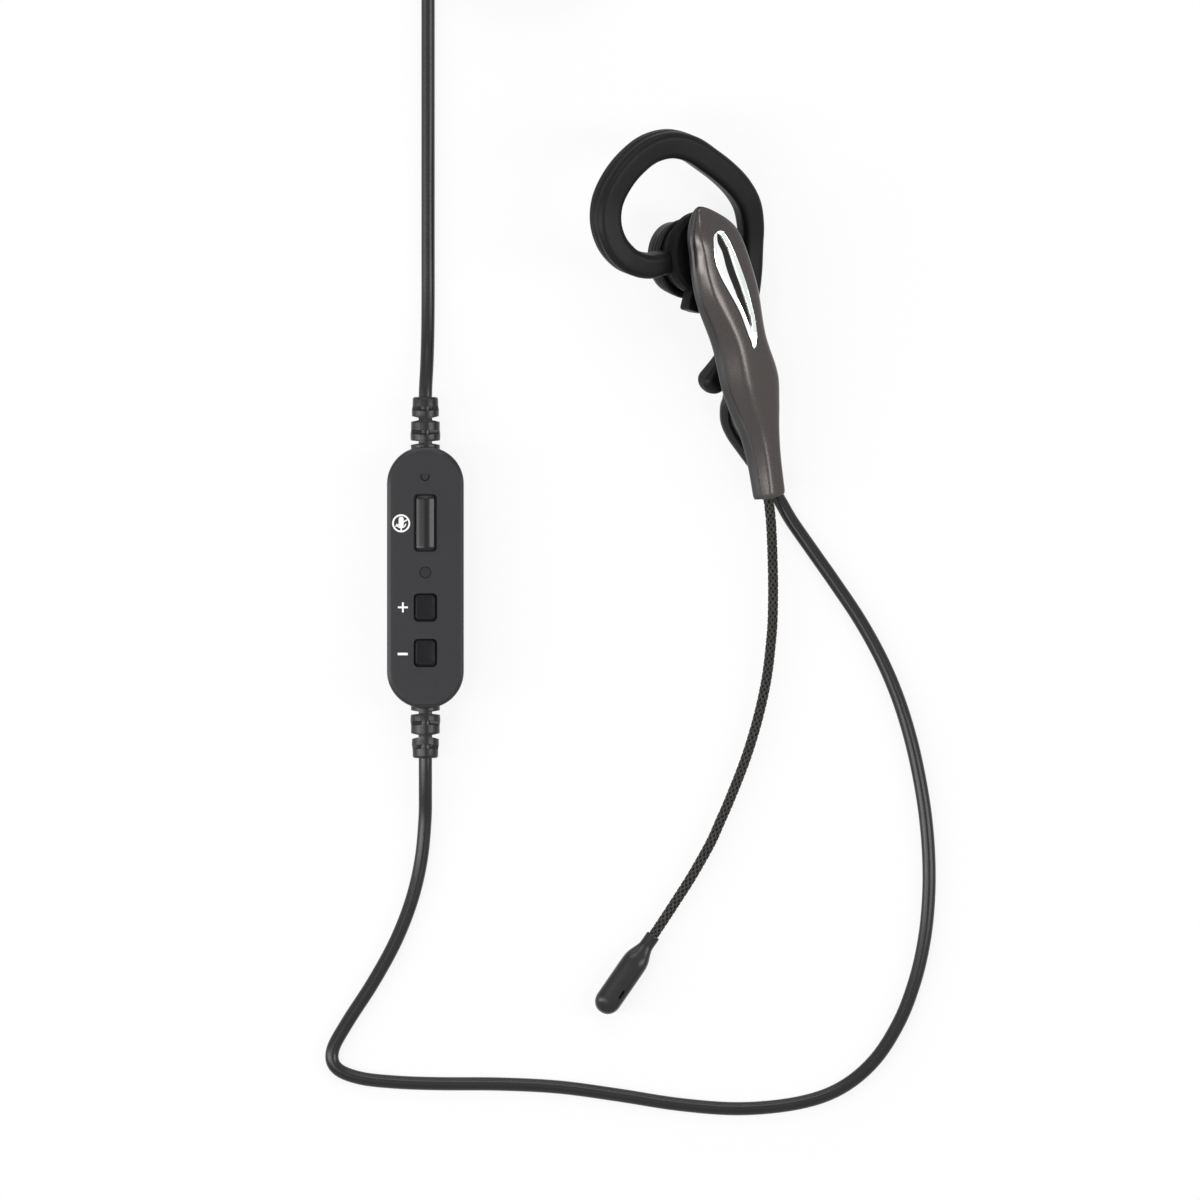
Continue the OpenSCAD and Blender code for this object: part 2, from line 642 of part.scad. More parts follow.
// The hook's section: a square with round corners and a groove along its outer side
function hook_outline(side) =
    let (h = side / 2, c = h - hook_corner)
    concat(
        [[-h, hook_groove], [-h + hook_groove, 0], [-h, -hook_groove]],
        [
            for (q = [[-c, -c, 180], [c, -c, 270], [c, c, 0], [-c, c, 90]], a = [0 : 45 : 90])
                [q[0] + hook_corner * cos(q[2] + a), q[1] + hook_corner * sin(q[2] + a)]
        ]
    );

module ear_hook() {
    points = curve(hook_route, 2);
    n = len(points) - 1;
    function side_at(s) = read_table(hook_sides, s)[1];
    bulb_r = side_at(1) / 2;
    tip = heading(points, n);
    module hook_bar() {
        skin([
            for (i = [0 : n])
                placed(hook_outline(side_at(i / n)), points[i], heading(points, i), hook_up),
            for (a = [20 : 20 : 80])
                placed(hook_outline(side_at(1)) * cos(a), points[n] + tip * bulb_r * sin(a), tip, hook_up)
        ]);
    }
    color([0.06, 0.06, 0.065])
    difference() {
        union() {
            hook_bar();
            at_neck() translate([0, 0, ring_bottom]) rotate_extrude() polygon([
                [0, 0], [ring_r - 1, 0], [ring_r - 0.3, 0.3], [ring_r, 1], [ring_r, ring_t - 1],
                [ring_r - 0.3, ring_t - 0.3], [ring_r - 1, ring_t], [0, ring_t]
            ]);
            at_neck() translate([0, 0, ring_top - 3.6]) rotate(tab_turn) linear_extrude(3.2)
                polygon([[-tab_w / 2 + 1.4, 0], [-tab_w / 2, -tab_reach + 0.4], [0, -tab_reach - 0.3],
                         [tab_w / 2, -tab_reach + 0.4], [tab_w / 2 - 1.4, 0]]);
        }
        at_neck() translate([0, 0, ring_bottom - overrun]) cylinder(r = neck_r + neck_gap, h = ring_t + 2 * overrun);
        at_neck() translate([0, 0, ring_bottom - tip_room]) cylinder(r = tip_r + 0.3, h = tip_room - small / 2);
    }
}

// ---- cord boot and boom ----

boot_r = 2.3;
boot_way = 12;    // length of the way that the boot has through the rear shell
boot_base = [13.75, 50.4, 12];
boot_end = earpiece_route[0];
boot_axis = unit(boot_end - boot_base);

// Turns into the boot's frame inside the housing's own frame
module at_boot() {
    rotate([0, -housing_yaw, 0]) rotate([-housing_pitch, 0, 0]) rotate([0, 0, -housing_roll])
        translate(-housing_foot) boot_frame() children();
}
module boot_frame() {
    translate(boot_base)
        rotate([0, acos(boot_axis[2]), atan2(boot_axis[1], boot_axis[0])])
        children();
}

// Tapered rubber sleeve round the cord where it leaves the rear shell
module cord_boot() {
    color([0.05, 0.05, 0.055])
    boot_frame() {
        cylinder(r = boot_r, h = norm(boot_end - boot_base) - 3.4);
        translate([0, 0, norm(boot_end - boot_base) - 3.4]) cylinder(r1 = boot_r, r2 = cord_d / 2 + 0.15, h = 3.4);
        translate([0, 0, -1.2]) cylinder(r = boot_r, h = 1.2);
    }
}

// Crimped brass sleeve that holds the boom inside the housing
anchor_wall = 0.15;
anchor_len = 2.8;
module boom_anchor() {
    color([0.72, 0.6, 0.32])
    at_housing() translate([0, housing_wall + 0.4, 1]) rotate([-90, 0, 0]) difference() {
        cylinder(r = boom_d / 2 + small + anchor_wall, h = anchor_len);
        translate([0, 0, -overrun]) cylinder(d = boom_d + 2 * small, h = anchor_len + 2 * overrun);
    }
}

module boom_upper() {
    color([0.06, 0.06, 0.06]) tube(curve(boom_up_route, 2), boom_d / 2, boom_sides);
}
module boom_middle() {
    color([0.06, 0.06, 0.06]) ball_tube(curve(boom_mid_route, 2), boom_d / 2, boom_sides);
}
module boom_lower() {
    color([0.06, 0.06, 0.06]) ball_tube(curve(boom_low_route, 2), boom_d / 2, boom_sides);
}

module at_mic() {
    translate(mic_root) rotate([0, 0, mic_turn]) rotate([90, 0, 0]) children();
}

// Rubber sleeve over the boom's end: a neck, shoulders, a body with a round nose and a slot for sound
module mic_sleeve() {
    neck_r = boom_d / 2 + 0.45;
    body_r = mic_d / 2;
    color([0.05, 0.05, 0.055])
    at_mic() difference() {
        rotate_extrude() polygon(concat(
            [[0, 0], [neck_r - 0.1, 0], [neck_r, 0.2], [neck_r, mic_neck]],
            [
                for (a = [15 : 15 : 180])
                    [neck_r + (body_r - neck_r) * (1 - cos(a)) / 2, mic_neck + mic_shoulder * a / 180]
            ],
            [for (a = [0 : 10 : 90]) [body_r * cos(a), mic_len - body_r + body_r * sin(a)]]
        ));
        translate([0, 0, -overrun]) cylinder(d = boom_d + small, h = 5 + overrun);
        translate([0, 0, port_at - 3]) cylinder(d = capsule_d + 2 * small, h = 6);
        rotate(-port_turn) translate([0, 0.5, port_at]) rotate([-90, 0, 0]) linear_extrude(body_r)
            rounded(port_w, port_len, port_w / 2 - 0.02);
    }
}
module mic_capsule() {
    color([0.7, 0.7, 0.72])
    at_mic() translate([0, 0, port_at - 3 + small]) cylinder(d = capsule_d, h = 6 - 2 * small);
}

// ---- control box ----

module at_box() {
    translate(box_at) children();
}

// A block with the box's outline, flat at z = 0 and rounded at the other end
module box_block(h) {
    hull() for (x = [-1, 1], y = [-1, 1])
        translate([x * (box_w / 2 - box_corner), y * (box_len / 2 - box_corner), 0])
            rotate_extrude($fn = 64) polygon(concat(
                [[0, 0], [box_corner, 0]],
                [for (a = [0 : 18 : 90]) [box_corner - box_edge + box_edge * cos(a), h - box_edge + box_edge * sin(a)]],
                [[0, h]]
            ));
}
module box_inside(h) {
    linear_extrude(h) rounded(box_w - 2 * box_wall, box_len - 2 * box_wall, box_corner - box_wall);
}
// A hole for each of the three keys, with a margin round them
module key_shapes(margin) {
    translate([0, mute_y]) rounded(key_w + 2 * margin, mute_len + 2 * margin, 0.9);
    translate([0, up_y]) rounded(key_w + 2 * margin, volume_len + 2 * margin, 0.9);
    translate([0, down_y]) rounded(key_w + 2 * margin, volume_len + 2 * margin, 0.9);
}
// The way out for a strain relief's neck at both ends of the box
module relief_ways() {
    translate([0, 0, relief_z]) rotate([90, 0, 0]) cylinder(r = gland_r + small, h = box_len + 2, center = true);
}

module control_top_shell() {
    top_h = box_h - seam_z;
    color([0.07, 0.07, 0.075])
    at_box() difference() {
        translate([0, 0, seam_z]) difference() {
            box_block(top_h);
            difference() {
                translate([0, 0, -overrun]) box_inside(top_h - box_wall + overrun);
                for (y = box_screw_y) translate([0, y, -overrun]) cylinder(r = box_post_r, h = top_h + overrun);
            }
            translate([0, 0, -overrun]) linear_extrude(top_h + 2 * overrun) key_shapes(key_gap);
            translate([0, light_y, 0]) cylinder(d = light_d + small, h = top_h + overrun);
            for (y = box_screw_y) translate([0, y, -overrun]) cylinder(r = screw_r, h = 3 + overrun);
        }
        relief_ways();
    }
}

module control_bottom_shell() {
    color([0.06, 0.06, 0.065])
    at_box() difference() {
        union() {
            difference() {
                translate([0, 0, seam_z - small / 2]) mirror([0, 0, 1]) box_block(seam_z - small / 2);
                translate([0, 0, box_wall]) box_inside(seam_z);
            }
            for (y = box_screw_y) translate([0, y, box_wall / 2]) cylinder(r = box_post_r + 0.4, h = seam_z - box_wall / 2 - small);
            for (x = [-1, 1], y = [-1, 1])
                translate([x * (board_w / 2 - 1), board_y + y * (board_len / 2 - 2), box_wall / 2])
                    cylinder(r = 0.9, h = board_top - board_t - box_wall / 2 - small / 2);
        }
        for (y = box_screw_y) translate([0, y, -overrun]) {
            cylinder(r = screw_r + small, h = seam_z + 2 * overrun);
            cylinder(r = screw_head_r + 2 * small, h = overrun + 1.6);
        }
        relief_ways();
    }
}

// A key: a cap through the shell, a flange under it and a stem over its switch
module key(length, y) {
    top = box_h + key_proud;
    flange_top = box_h - box_wall - flange_drop;
    translate([0, y, 0]) {
        translate([0, 0, flange_top - flange_t]) linear_extrude(flange_t)
            rounded(key_w + 2 * key_gap + 2 * flange_out, length + 2 * key_gap + 2 * flange_out, 0.6);
        difference() {
            translate([0, 0, flange_top - flange_t / 2]) linear_extrude(top - flange_top + flange_t / 2)
                rounded(key_w, length, 0.5);
            children();
        }
    }
}
// The mute key's top is crowned across its width
module mute_key() {
    crown_h = 0.5;
    crown_r = (key_w * key_w / 4 + crown_h * crown_h) / (2 * crown_h);
    color([0.09, 0.09, 0.095])
    at_box() key(mute_len, mute_y) difference() {
        translate([-key_w, -mute_len, box_h + key_proud - 2]) cube([2 * key_w, 2 * mute_len, 4]);
        translate([0, 0, box_h + key_proud - crown_r]) rotate([90, 0, 0])
            cylinder(r = crown_r, h = 3 * mute_len, center = true, $fn = 96);
    }
}
// The volume keys' tops are hollowed
module volume_key(y) {
    dish_r = 14;
    color([0.09, 0.09, 0.095])
    at_box() key(volume_len, y)
        translate([0, 0, box_h + key_proud - 0.35 + dish_r]) sphere(r = dish_r, $fn = 96);
}
module volume_up_key() {
    volume_key(up_y);
}
module volume_down_key() {
    volume_key(down_y);
}

module light_pipe() {
    color([0.25, 0.26, 0.28])
    at_box() translate([0, light_y, 0]) {
        translate([0, 0, board_top + 1]) cylinder(d = light_d - small, h = box_h - board_top - 1 - 0.1);
        translate([0, 0, box_h - box_wall - 0.8]) cylinder(d = light_d + 1.2, h = 0.7);
    }
}

module circuit_board() {
    color([0.05, 0.25, 0.12])
    at_box() translate([0, board_y, board_top - board_t]) linear_extrude(board_t) rounded(board_w, board_len, 1);
}
// On the board: the light, the sound chip under it and a row of small capacitors
module board_parts() {
    color([0.15, 0.15, 0.16])
    at_box() {
        translate([-0.8, light_y - 0.5, board_top]) cube([1.6, 1, 0.8]);
        translate([-2.5, 2, board_top - board_t - 1]) cube([5, 5, 1]);
        for (k = [0 : 4]) translate([-5 + 2.2 * k, -6, board_top - board_t - 0.7]) cube([1, 1.8, 0.7]);
        translate([-2, -14, board_top - board_t - 1.2]) cube([3.4, 5, 1.2]);
    }
}
module tact_switches() {
    color([0.75, 0.75, 0.76])
    at_box() for (y = [mute_y, up_y, down_y]) translate([0, y, board_top]) {
        translate([-switch_side / 2, -switch_side / 2, 0]) cube([switch_side, switch_side, switch_h - 0.7]);
        cylinder(r = 1.2, h = switch_h);
    }
}
module control_screws() {
    color([0.6, 0.6, 0.62])
    at_box() for (y = box_screw_y) translate([0, y, 0.6]) difference() {
        union() {
            cylinder(r = screw_head_r, h = 0.9);
            cylinder(r = screw_r - small, h = seam_z + 1.8);
        }
        for (a = [0, 90]) rotate(a) translate([-1, -0.22, -overrun]) cube([2, 0.44, overrun + 0.5]);
    }
}

// Ribbed strain relief: slotted ribs round a core, a foot on the box and a gland inside it
module strain_relief() {
    foot = box_len / 2;
    bend = cord_d / 2 + 0.3;
    translate([0, 0, relief_z]) rotate([-90, 0, 0]) difference() {
        union() {
            translate([0, 0, foot - box_wall - 2]) cylinder(r = gland_r, h = box_wall + 2 + 2 * small);
            translate([0, 0, foot - box_wall - 2.1]) cylinder(r = gland_r + 0.8, h = 1);
            translate([0, 0, foot + small]) cylinder(r = relief_flange_r, h = relief_flange_t);
            translate([0, 0, foot + small]) cylinder(r = relief_core_r, h = relief_len - small);
            translate([0, 0, foot + 1.6]) cylinder(r1 = relief_r, r2 = relief_r + 0.1, h = 2.2);
            translate([0, 0, foot + 3.8]) cylinder(r = relief_r - 0.5, h = 0.7);
            translate([0, 0, foot + 4.5]) cylinder(r = relief_r + 0.1, h = 2);
            translate([0, 0, foot + 8.1]) cylinder(r = relief_r - 0.4, h = 1.6);
            translate([0, 0, foot + 9.7]) cylinder(r = relief_r - 0.8, h = 0.6);
            translate([0, 0, foot + 10.3]) cylinder(r = relief_r - 0.4, h = 1.7);
            translate([0, 0, foot + 12]) cylinder(r1 = relief_r - 0.6, r2 = bend, h = relief_len - 12);
        }
        translate([0, 0, foot - 4]) cylinder(r = 1.2, h = 7);
    }
}
module upper_strain_relief() {
    color([0.05, 0.05, 0.055])
    at_box() strain_relief();
}
module lower_strain_relief() {
    color([0.05, 0.05, 0.055])
    at_box() rotate([0, 0, 180]) strain_relief();
}

// ---- cord, coil and plug ----

module earpiece_cord() {
    color([0.05, 0.05, 0.055])
        tube(earpiece_route, cord_d / 2, cord_sides, first = boot_axis, last = [0, 1, 0]);
}
module plug_cord() {
    color([0.05, 0.05, 0.055])
        tube(plug_route, cord_d / 2, cord_sides, first = [0, 1, 0], last = [0, 1, 0]);
}

// The coil winds clockwise. Its turns go in and out at a steady rate, a layer each way,
// and climb to the next layer in the half turn about each reversal
function coil_layer(s) = floor(s / coil_turns);
function coil_r(s) =
    let (k = coil_layer(s), f = s - k * coil_turns)
    coil_outer_r - coil_pitch * (k % 2 == 0 ? f : coil_turns - f);
function coil_z(s) =
    let (k = round(s / coil_turns), f = s - k * coil_turns)
    k < 1 ? 0 : k >= coil_layers ? (coil_layers - 1) * coil_pitch
    : coil_pitch * (k - 1 + max(0, min(1, (f + 0.25) / 0.5)));
function coil_point(s) = coil_at + [-coil_r(s) * cos(360 * s), coil_r(s) * sin(360 * s), coil_z(s)];
coil_steps = coil_count * coil_ring;
coil_points = concat(
    [coil_point(0) - [0, coil_lead, 0]],
    [for (i = [0 : coil_steps]) coil_point(i / coil_ring)],
    [coil_point(coil_count - 0.0001) + [0, coil_lead, 0]]
);
// The least distance between the centre lines of turns at least half a turn apart, less the cord
coil_least_gap = min([
    for (i = [0 : 2 : coil_steps - coil_ring / 2], j = [i + coil_ring / 2 : coil_steps])
        norm(coil_point(i / coil_ring) - coil_point(j / coil_ring))
]) - cord_d;
echo(coil_least_gap = coil_least_gap);

module cord_coil() {
    color([0.05, 0.05, 0.055])
        tube(coil_points, cord_d / 2, coil_sides, first = [0, 1, 0], last = [0, 1, 0]);
}
module cord_tail() {
    color([0.05, 0.05, 0.055])
        tube(tail_route, cord_d / 2, cord_sides, first = [0, 1, 0], last = [1, 0, 0]);
}

// A strap round the coil's turns, opposite the side where the cord comes and goes
module coil_tie() {
    in_r = coil_inner_r + coil_pitch / 2 - cord_d / 2 - tie_gap - 0.4;
    out_r = coil_outer_r - coil_pitch / 2 + cord_d / 2 + tie_gap;
    inside_h = (coil_layers - 1) * coil_pitch + cord_d + 2 * small;
    color([0.12, 0.12, 0.13])
    translate([coil_at[0] + (in_r + out_r) / 2, coil_at[1], inside_h / 2 + tie_t])
        rotate([90, 0, 0]) translate([0, 0, -tie_w / 2]) linear_extrude(tie_w) difference() {
            rounded(out_r - in_r + 2 * tie_t, inside_h + 2 * tie_t, 1.6);
            rounded(out_r - in_r, inside_h, 0.8);
        }
}

module at_plug() {
    translate(plug_at) rotate([0, 90, 0]) rotate([0, 0, 90]) children();
}

// Moulded grip: a ribbed neck round the cord and a rounded block
module plug_grip() {
    neck = 8;
    color([0.06, 0.06, 0.065])
    at_plug() difference() {
        union() {
            cylinder(r1 = cord_d / 2 + 0.3, r2 = 2.7, h = neck);
            for (k = [0 : 2]) translate([0, 0, 1.6 + 2.1 * k]) cylinder(r = 2.6 + 0.15 * k, h = 1.1);
            hull() {
                translate([0, 0, neck]) linear_extrude(0.1) rounded(grip_w - 5, grip_h - 2.6, 1.6, $fn = 32);
                translate([0, 0, neck + 3.4]) linear_extrude(0.1) rounded(grip_w, grip_h, 1.8, $fn = 32);
                translate([0, 0, grip_len - 1]) linear_extrude(0.1) rounded(grip_w, grip_h, 1.8, $fn = 32);
                translate([0, 0, grip_len - 0.1]) linear_extrude(0.1) rounded(grip_w - 1, grip_h - 1, 1.4, $fn = 32);
            }
        }
        translate([0, 0, grip_len - 6]) linear_extrude(6 + overrun) square([usb_w + 2 * small, usb_h + 2 * small], center = true);
    }
}

// Folded sheet metal shell with its four latch windows
module plug_shell() {
    window = 2.2;
    color([0.75, 0.75, 0.77])
    at_plug() translate([0, 0, grip_len - 5.9]) difference() {
        linear_extrude(usb_len + 5.9) difference() {
            square([usb_w, usb_h], center = true);
            square([usb_w - 2 * usb_sheet, usb_h - 2 * usb_sheet], center = true);
        }
        for (x = [-1, 1]) translate([x * 2.6 - window / 2, -usb_h, 5.9 + usb_len - 6.2]) cube([window, 2 * usb_h, window]);
    }
}
module plug_tongue() {
    color([0.85, 0.85, 0.86])
    at_plug() translate([0, 0, grip_len - 5.8]) {
        translate([-(usb_w / 2 - usb_sheet - small), -usb_h / 2 + usb_sheet + small, 0])
            cube([usb_w - 2 * usb_sheet - 2 * small, 1.7, usb_len + 5]);
        translate([-(usb_w / 2 - usb_sheet - small), -usb_h / 2 + usb_sheet + small, 0])
            cube([usb_w - 2 * usb_sheet - 2 * small, usb_h - 2 * usb_sheet - 2 * small, 5]);
    }
}
module plug_contacts() {
    color([0.85, 0.7, 0.35])
    at_plug() for (x = [-3.5, -1, 1, 3.5])
        translate([x - 0.5, -usb_h / 2 + usb_sheet + small + 1.7, grip_len - 0.7]) cube([1, 0.2, usb_len - 1]);
}

front_cover();
leaf_trim();
rear_shell();
housing_screws();
neck_nut();
speaker_cup();
speaker_driver();
speaker_grille();
ear_tip();
friction_washer();
ear_hook();
cord_boot();
boom_anchor();
boom_upper();
boom_middle();
boom_lower();
mic_sleeve();
mic_capsule();
control_top_shell();
control_bottom_shell();
mute_key();
volume_up_key();
volume_down_key();
light_pipe();
circuit_board();
board_parts();
tact_switches();
control_screws();
upper_strain_relief();
lower_strain_relief();
earpiece_cord();
plug_cord();
cord_coil();
cord_tail();
coil_tie();
plug_grip();
plug_shell();
plug_tongue();
plug_contacts();
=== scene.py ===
"""Looks for the single-ear headset. Lengths in this script are millimetres until mesh data is made."""
import math

import bpy
import bmesh
from mathutils import Matrix, Vector


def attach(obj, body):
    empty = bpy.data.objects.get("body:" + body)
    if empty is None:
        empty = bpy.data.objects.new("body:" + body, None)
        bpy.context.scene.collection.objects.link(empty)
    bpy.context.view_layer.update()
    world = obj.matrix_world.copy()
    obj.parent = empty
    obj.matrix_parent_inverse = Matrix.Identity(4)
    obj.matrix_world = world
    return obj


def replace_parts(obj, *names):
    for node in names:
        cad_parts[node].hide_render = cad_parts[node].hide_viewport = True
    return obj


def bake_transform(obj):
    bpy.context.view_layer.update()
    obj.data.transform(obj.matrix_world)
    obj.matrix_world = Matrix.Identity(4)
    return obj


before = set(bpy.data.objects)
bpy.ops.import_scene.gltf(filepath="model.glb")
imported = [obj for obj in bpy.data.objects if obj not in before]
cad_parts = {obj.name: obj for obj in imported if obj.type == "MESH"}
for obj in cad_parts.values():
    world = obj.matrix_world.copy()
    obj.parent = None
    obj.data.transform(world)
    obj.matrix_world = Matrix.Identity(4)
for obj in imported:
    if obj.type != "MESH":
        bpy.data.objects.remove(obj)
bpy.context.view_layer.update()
bpy.context.scene.view_settings.view_transform = "Standard"
MM = 0.001


# ---------------------------------------------------------------- small maths

def lerp(a, b, t):
    return a + (b - a) * t


def slope(t, i):
    a, b = max(i - 1, 0), min(i + 1, len(t) - 1)
    return [(q - p) / (t[b][0] - t[a][0]) for p, q in zip(t[a], t[b])]


def read_table(t, x):
    """The smooth value of a table's columns at x, as the CAD source reads its own."""
    i = 0
    while i < len(t) - 2 and x >= t[i + 1][0]:
        i += 1
    h = t[i + 1][0] - t[i][0]
    s = (x - t[i][0]) / h
    a, b, m, n = t[i], t[i + 1], slope(t, i), slope(t, i + 1)
    return [(2 * s ** 3 - 3 * s ** 2 + 1) * a[k] + (s ** 3 - 2 * s ** 2 + s) * h * m[k]
            + (3 * s ** 2 - 2 * s ** 3) * b[k] + (s ** 3 - s ** 2) * h * n[k] for k in range(len(a))]


def curve(points, steps):
    """Points on a smooth curve through the given ones."""
    p = [Vector(q) for q in points]
    out = []
    for i in range(len(p) - 1):
        a, b, c, d = p[max(i - 1, 0)], p[i], p[i + 1], p[min(i + 2, len(p) - 1)]
        for k in range(steps):
            s = k / steps
            out.append(b + 0.5 * s * (c - a + s * (2 * a - 5 * b + 4 * c - d + s * (3 * (b - c) + d - a))))
    out.append(p[-1])
    return out


def resample(points, step):
    """The same path with points about a step apart, and their distances along it."""
    run = [0.0]
    for a, b in zip(points, points[1:]):
        run.append(run[-1] + (b - a).length)
    n = max(2, int(round(run[-1] / step)))
    out, i = [], 0
    for k in range(n + 1):
        s = run[-1] * k / n
        while i < len(points) - 2 and run[i + 1] < s:
            i += 1
        t = (s - run[i]) / max(run[i + 1] - run[i], 1e-9)
        out.append(points[i].lerp(points[i + 1], min(max(t, 0), 1)))
    return out, [run[-1] * k / n for k in range(n + 1)]


def heading(p, i):
    return (p[min(i + 1, len(p) - 1)] - p[max(i - 1, 0)]).normalized()


def ring_at(outline, at, along, up):
    side = along.cross(up).normalized()
    top = side.cross(along)
    return [at + side * x + top * y for x, y in outline]


# ---------------------------------------------------------------- mesh helpers

def make(name, verts, faces, material, body=None, slot=None, replaces=(), sharp=35, smooth=True):
    me = bpy.data.meshes.new(name)
    me.from_pydata([(v[0] * MM, v[1] * MM, v[2] * MM) for v in verts], [], faces)
    bm = bmesh.new()
    bm.from_mesh(me)
    bmesh.ops.remove_doubles(bm, verts=bm.verts, dist=1e-7)
    bmesh.ops.recalc_face_normals(bm, faces=bm.faces)
    bm.to_mesh(me)
    bm.free()
    return finish_mesh(name, me, material, body, replaces, sharp, smooth)


def finish_mesh(name, me, material, body, replaces=(), sharp=35, smooth=True):
    me.polygons.foreach_set("use_smooth", [smooth] * len(me.polygons))
    if smooth and sharp:
        me.set_sharp_from_angle(angle=math.radians(sharp))
    me.materials.append(material)
    ob = bpy.data.objects.new(name, me)
    bpy.context.scene.collection.objects.link(ob)
    if body:
        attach(ob, body)
    if replaces:
        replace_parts(ob, *replaces)
    return ob


def skin(rings, cap=True):
    """Vertices and faces of a closed solid through rings of equal size."""
    m, n = len(rings[0]), len(rings)
    verts = [v for r in rings for v in r]
    faces = [(i * m + j, i * m + (j + 1) % m, (i + 1) * m + (j + 1) % m, (i + 1) * m + j)
             for i in range(n - 1) for j in range(m)]
    if cap:
        faces.append(tuple(range(m - 1, -1, -1)))
        faces.append(tuple((n - 1) * m + j for j in range(m)))
    return verts, faces


def merge(*parts):
    verts, faces = [], []
    for v, f in parts:
        k = len(verts)
        verts += list(v)
        faces += [tuple(i + k for i in face) for face in f]
    return verts, faces


def placed(part, matrix):
    return [matrix @ Vector(v) for v in part[0]], part[1]


def revolve(profile, sides=96, closed=False):
    """A solid of revolution about Z from (radius, height) points."""
    m = len(profile)
    verts, faces = [], []
    for k in range(sides):
        a = 2 * math.pi * k / sides
        verts += [(r * math.cos(a), r * math.sin(a), z) for r, z in profile]
    for k in range(sides):
        q = (k + 1) % sides
        for j in range(m - 1 if not closed else m):
            l = (j + 1) % m
            faces.append((k * m + j, q * m + j, q * m + l, k * m + l))
    return verts, faces


def soften(profile, r, steps=4):
    """Rounds the corners of an open profile by about a radius."""
    p = [Vector(q) for q in profile]
    out = [p[0]]
    for a, b, c in zip(p, p[1:], p[2:]):
        u, v = (a - b), (c - b)
        d = min(r, u.length * 0.45, v.length * 0.45)
        s, e = b + u.normalized() * d, b + v.normalized() * d
        out += [s * (1 - t) ** 2 + 2 * b * t * (1 - t) + e * t ** 2 for t in [k / steps for k in range(steps + 1)]]
    out.append(p[-1])
    return [(q.x, q.y) for q in out]


def rounded(w, l, r, steps=8):
    """Outline of a plate with round corners, counterclockwise."""
    pts = []
    for cx, cy, a0 in ((1, 1, 0), (-1, 1, 90), (-1, -1, 180), (1, -1, 270)):
        for k in range(steps + 1):
            a = math.radians(a0 + 90 * k / steps)
            pts.append((cx * (w / 2 - r) + r * math.cos(a), cy * (l / 2 - r) + r * math.sin(a)))
    return pts


def apply_modifiers(ob):
    deps = bpy.context.evaluated_depsgraph_get()
    me = bpy.data.meshes.new_from_object(ob.evaluated_get(deps))
    old = ob.data
    ob.modifiers.clear()
    ob.data = me
    bpy.data.meshes.remove(old)
    return ob


def raw(name, part):
    """A plain helper object, for cutting."""
    me = bpy.data.meshes.new(name)
    me.from_pydata([(v[0] * MM, v[1] * MM, v[2] * MM) for v in part[0]], [], part[1])
    bm = bmesh.new()
    bm.from_mesh(me)
    bmesh.ops.remove_doubles(bm, verts=bm.verts, dist=1e-7)
    bmesh.ops.recalc_face_normals(bm, faces=bm.faces)
    bm.to_mesh(me)
    bm.free()
    ob = bpy.data.objects.new(name, me)
    bpy.context.scene.collection.objects.link(ob)
    return ob


def cut_mesh(name, part, cutters, bevel=0.0, segments=3, angle=40, join=()):
    """Part less its cutters, with its sharp edges bevelled; returns the mesh."""
    ob = raw(name + "_block", part)
    helpers = []
    for op, parts in (("UNION", join), ("DIFFERENCE", cutters)):
        for i, c in enumerate(parts):
            h = raw(f"{name}_{op}_{i}", c)
            helpers.append(h)
            mod = ob.modifiers.new(f"{op}{i}", "BOOLEAN")
            mod.operation = op
            mod.solver = "EXACT"
            mod.object = h
    if bevel:
        mod = ob.modifiers.new("bevel", "BEVEL")
        mod.width = bevel * MM
        mod.segments = segments
        mod.limit_method = "ANGLE"
        mod.angle_limit = math.radians(angle)
        mod.harden_normals = False
    apply_modifiers(ob)
    me = ob.data
    me.name = name
    bpy.data.objects.remove(ob)
    for h in helpers:
        bpy.data.objects.remove(h)
    return me


# ---------------------------------------------------------------- materials

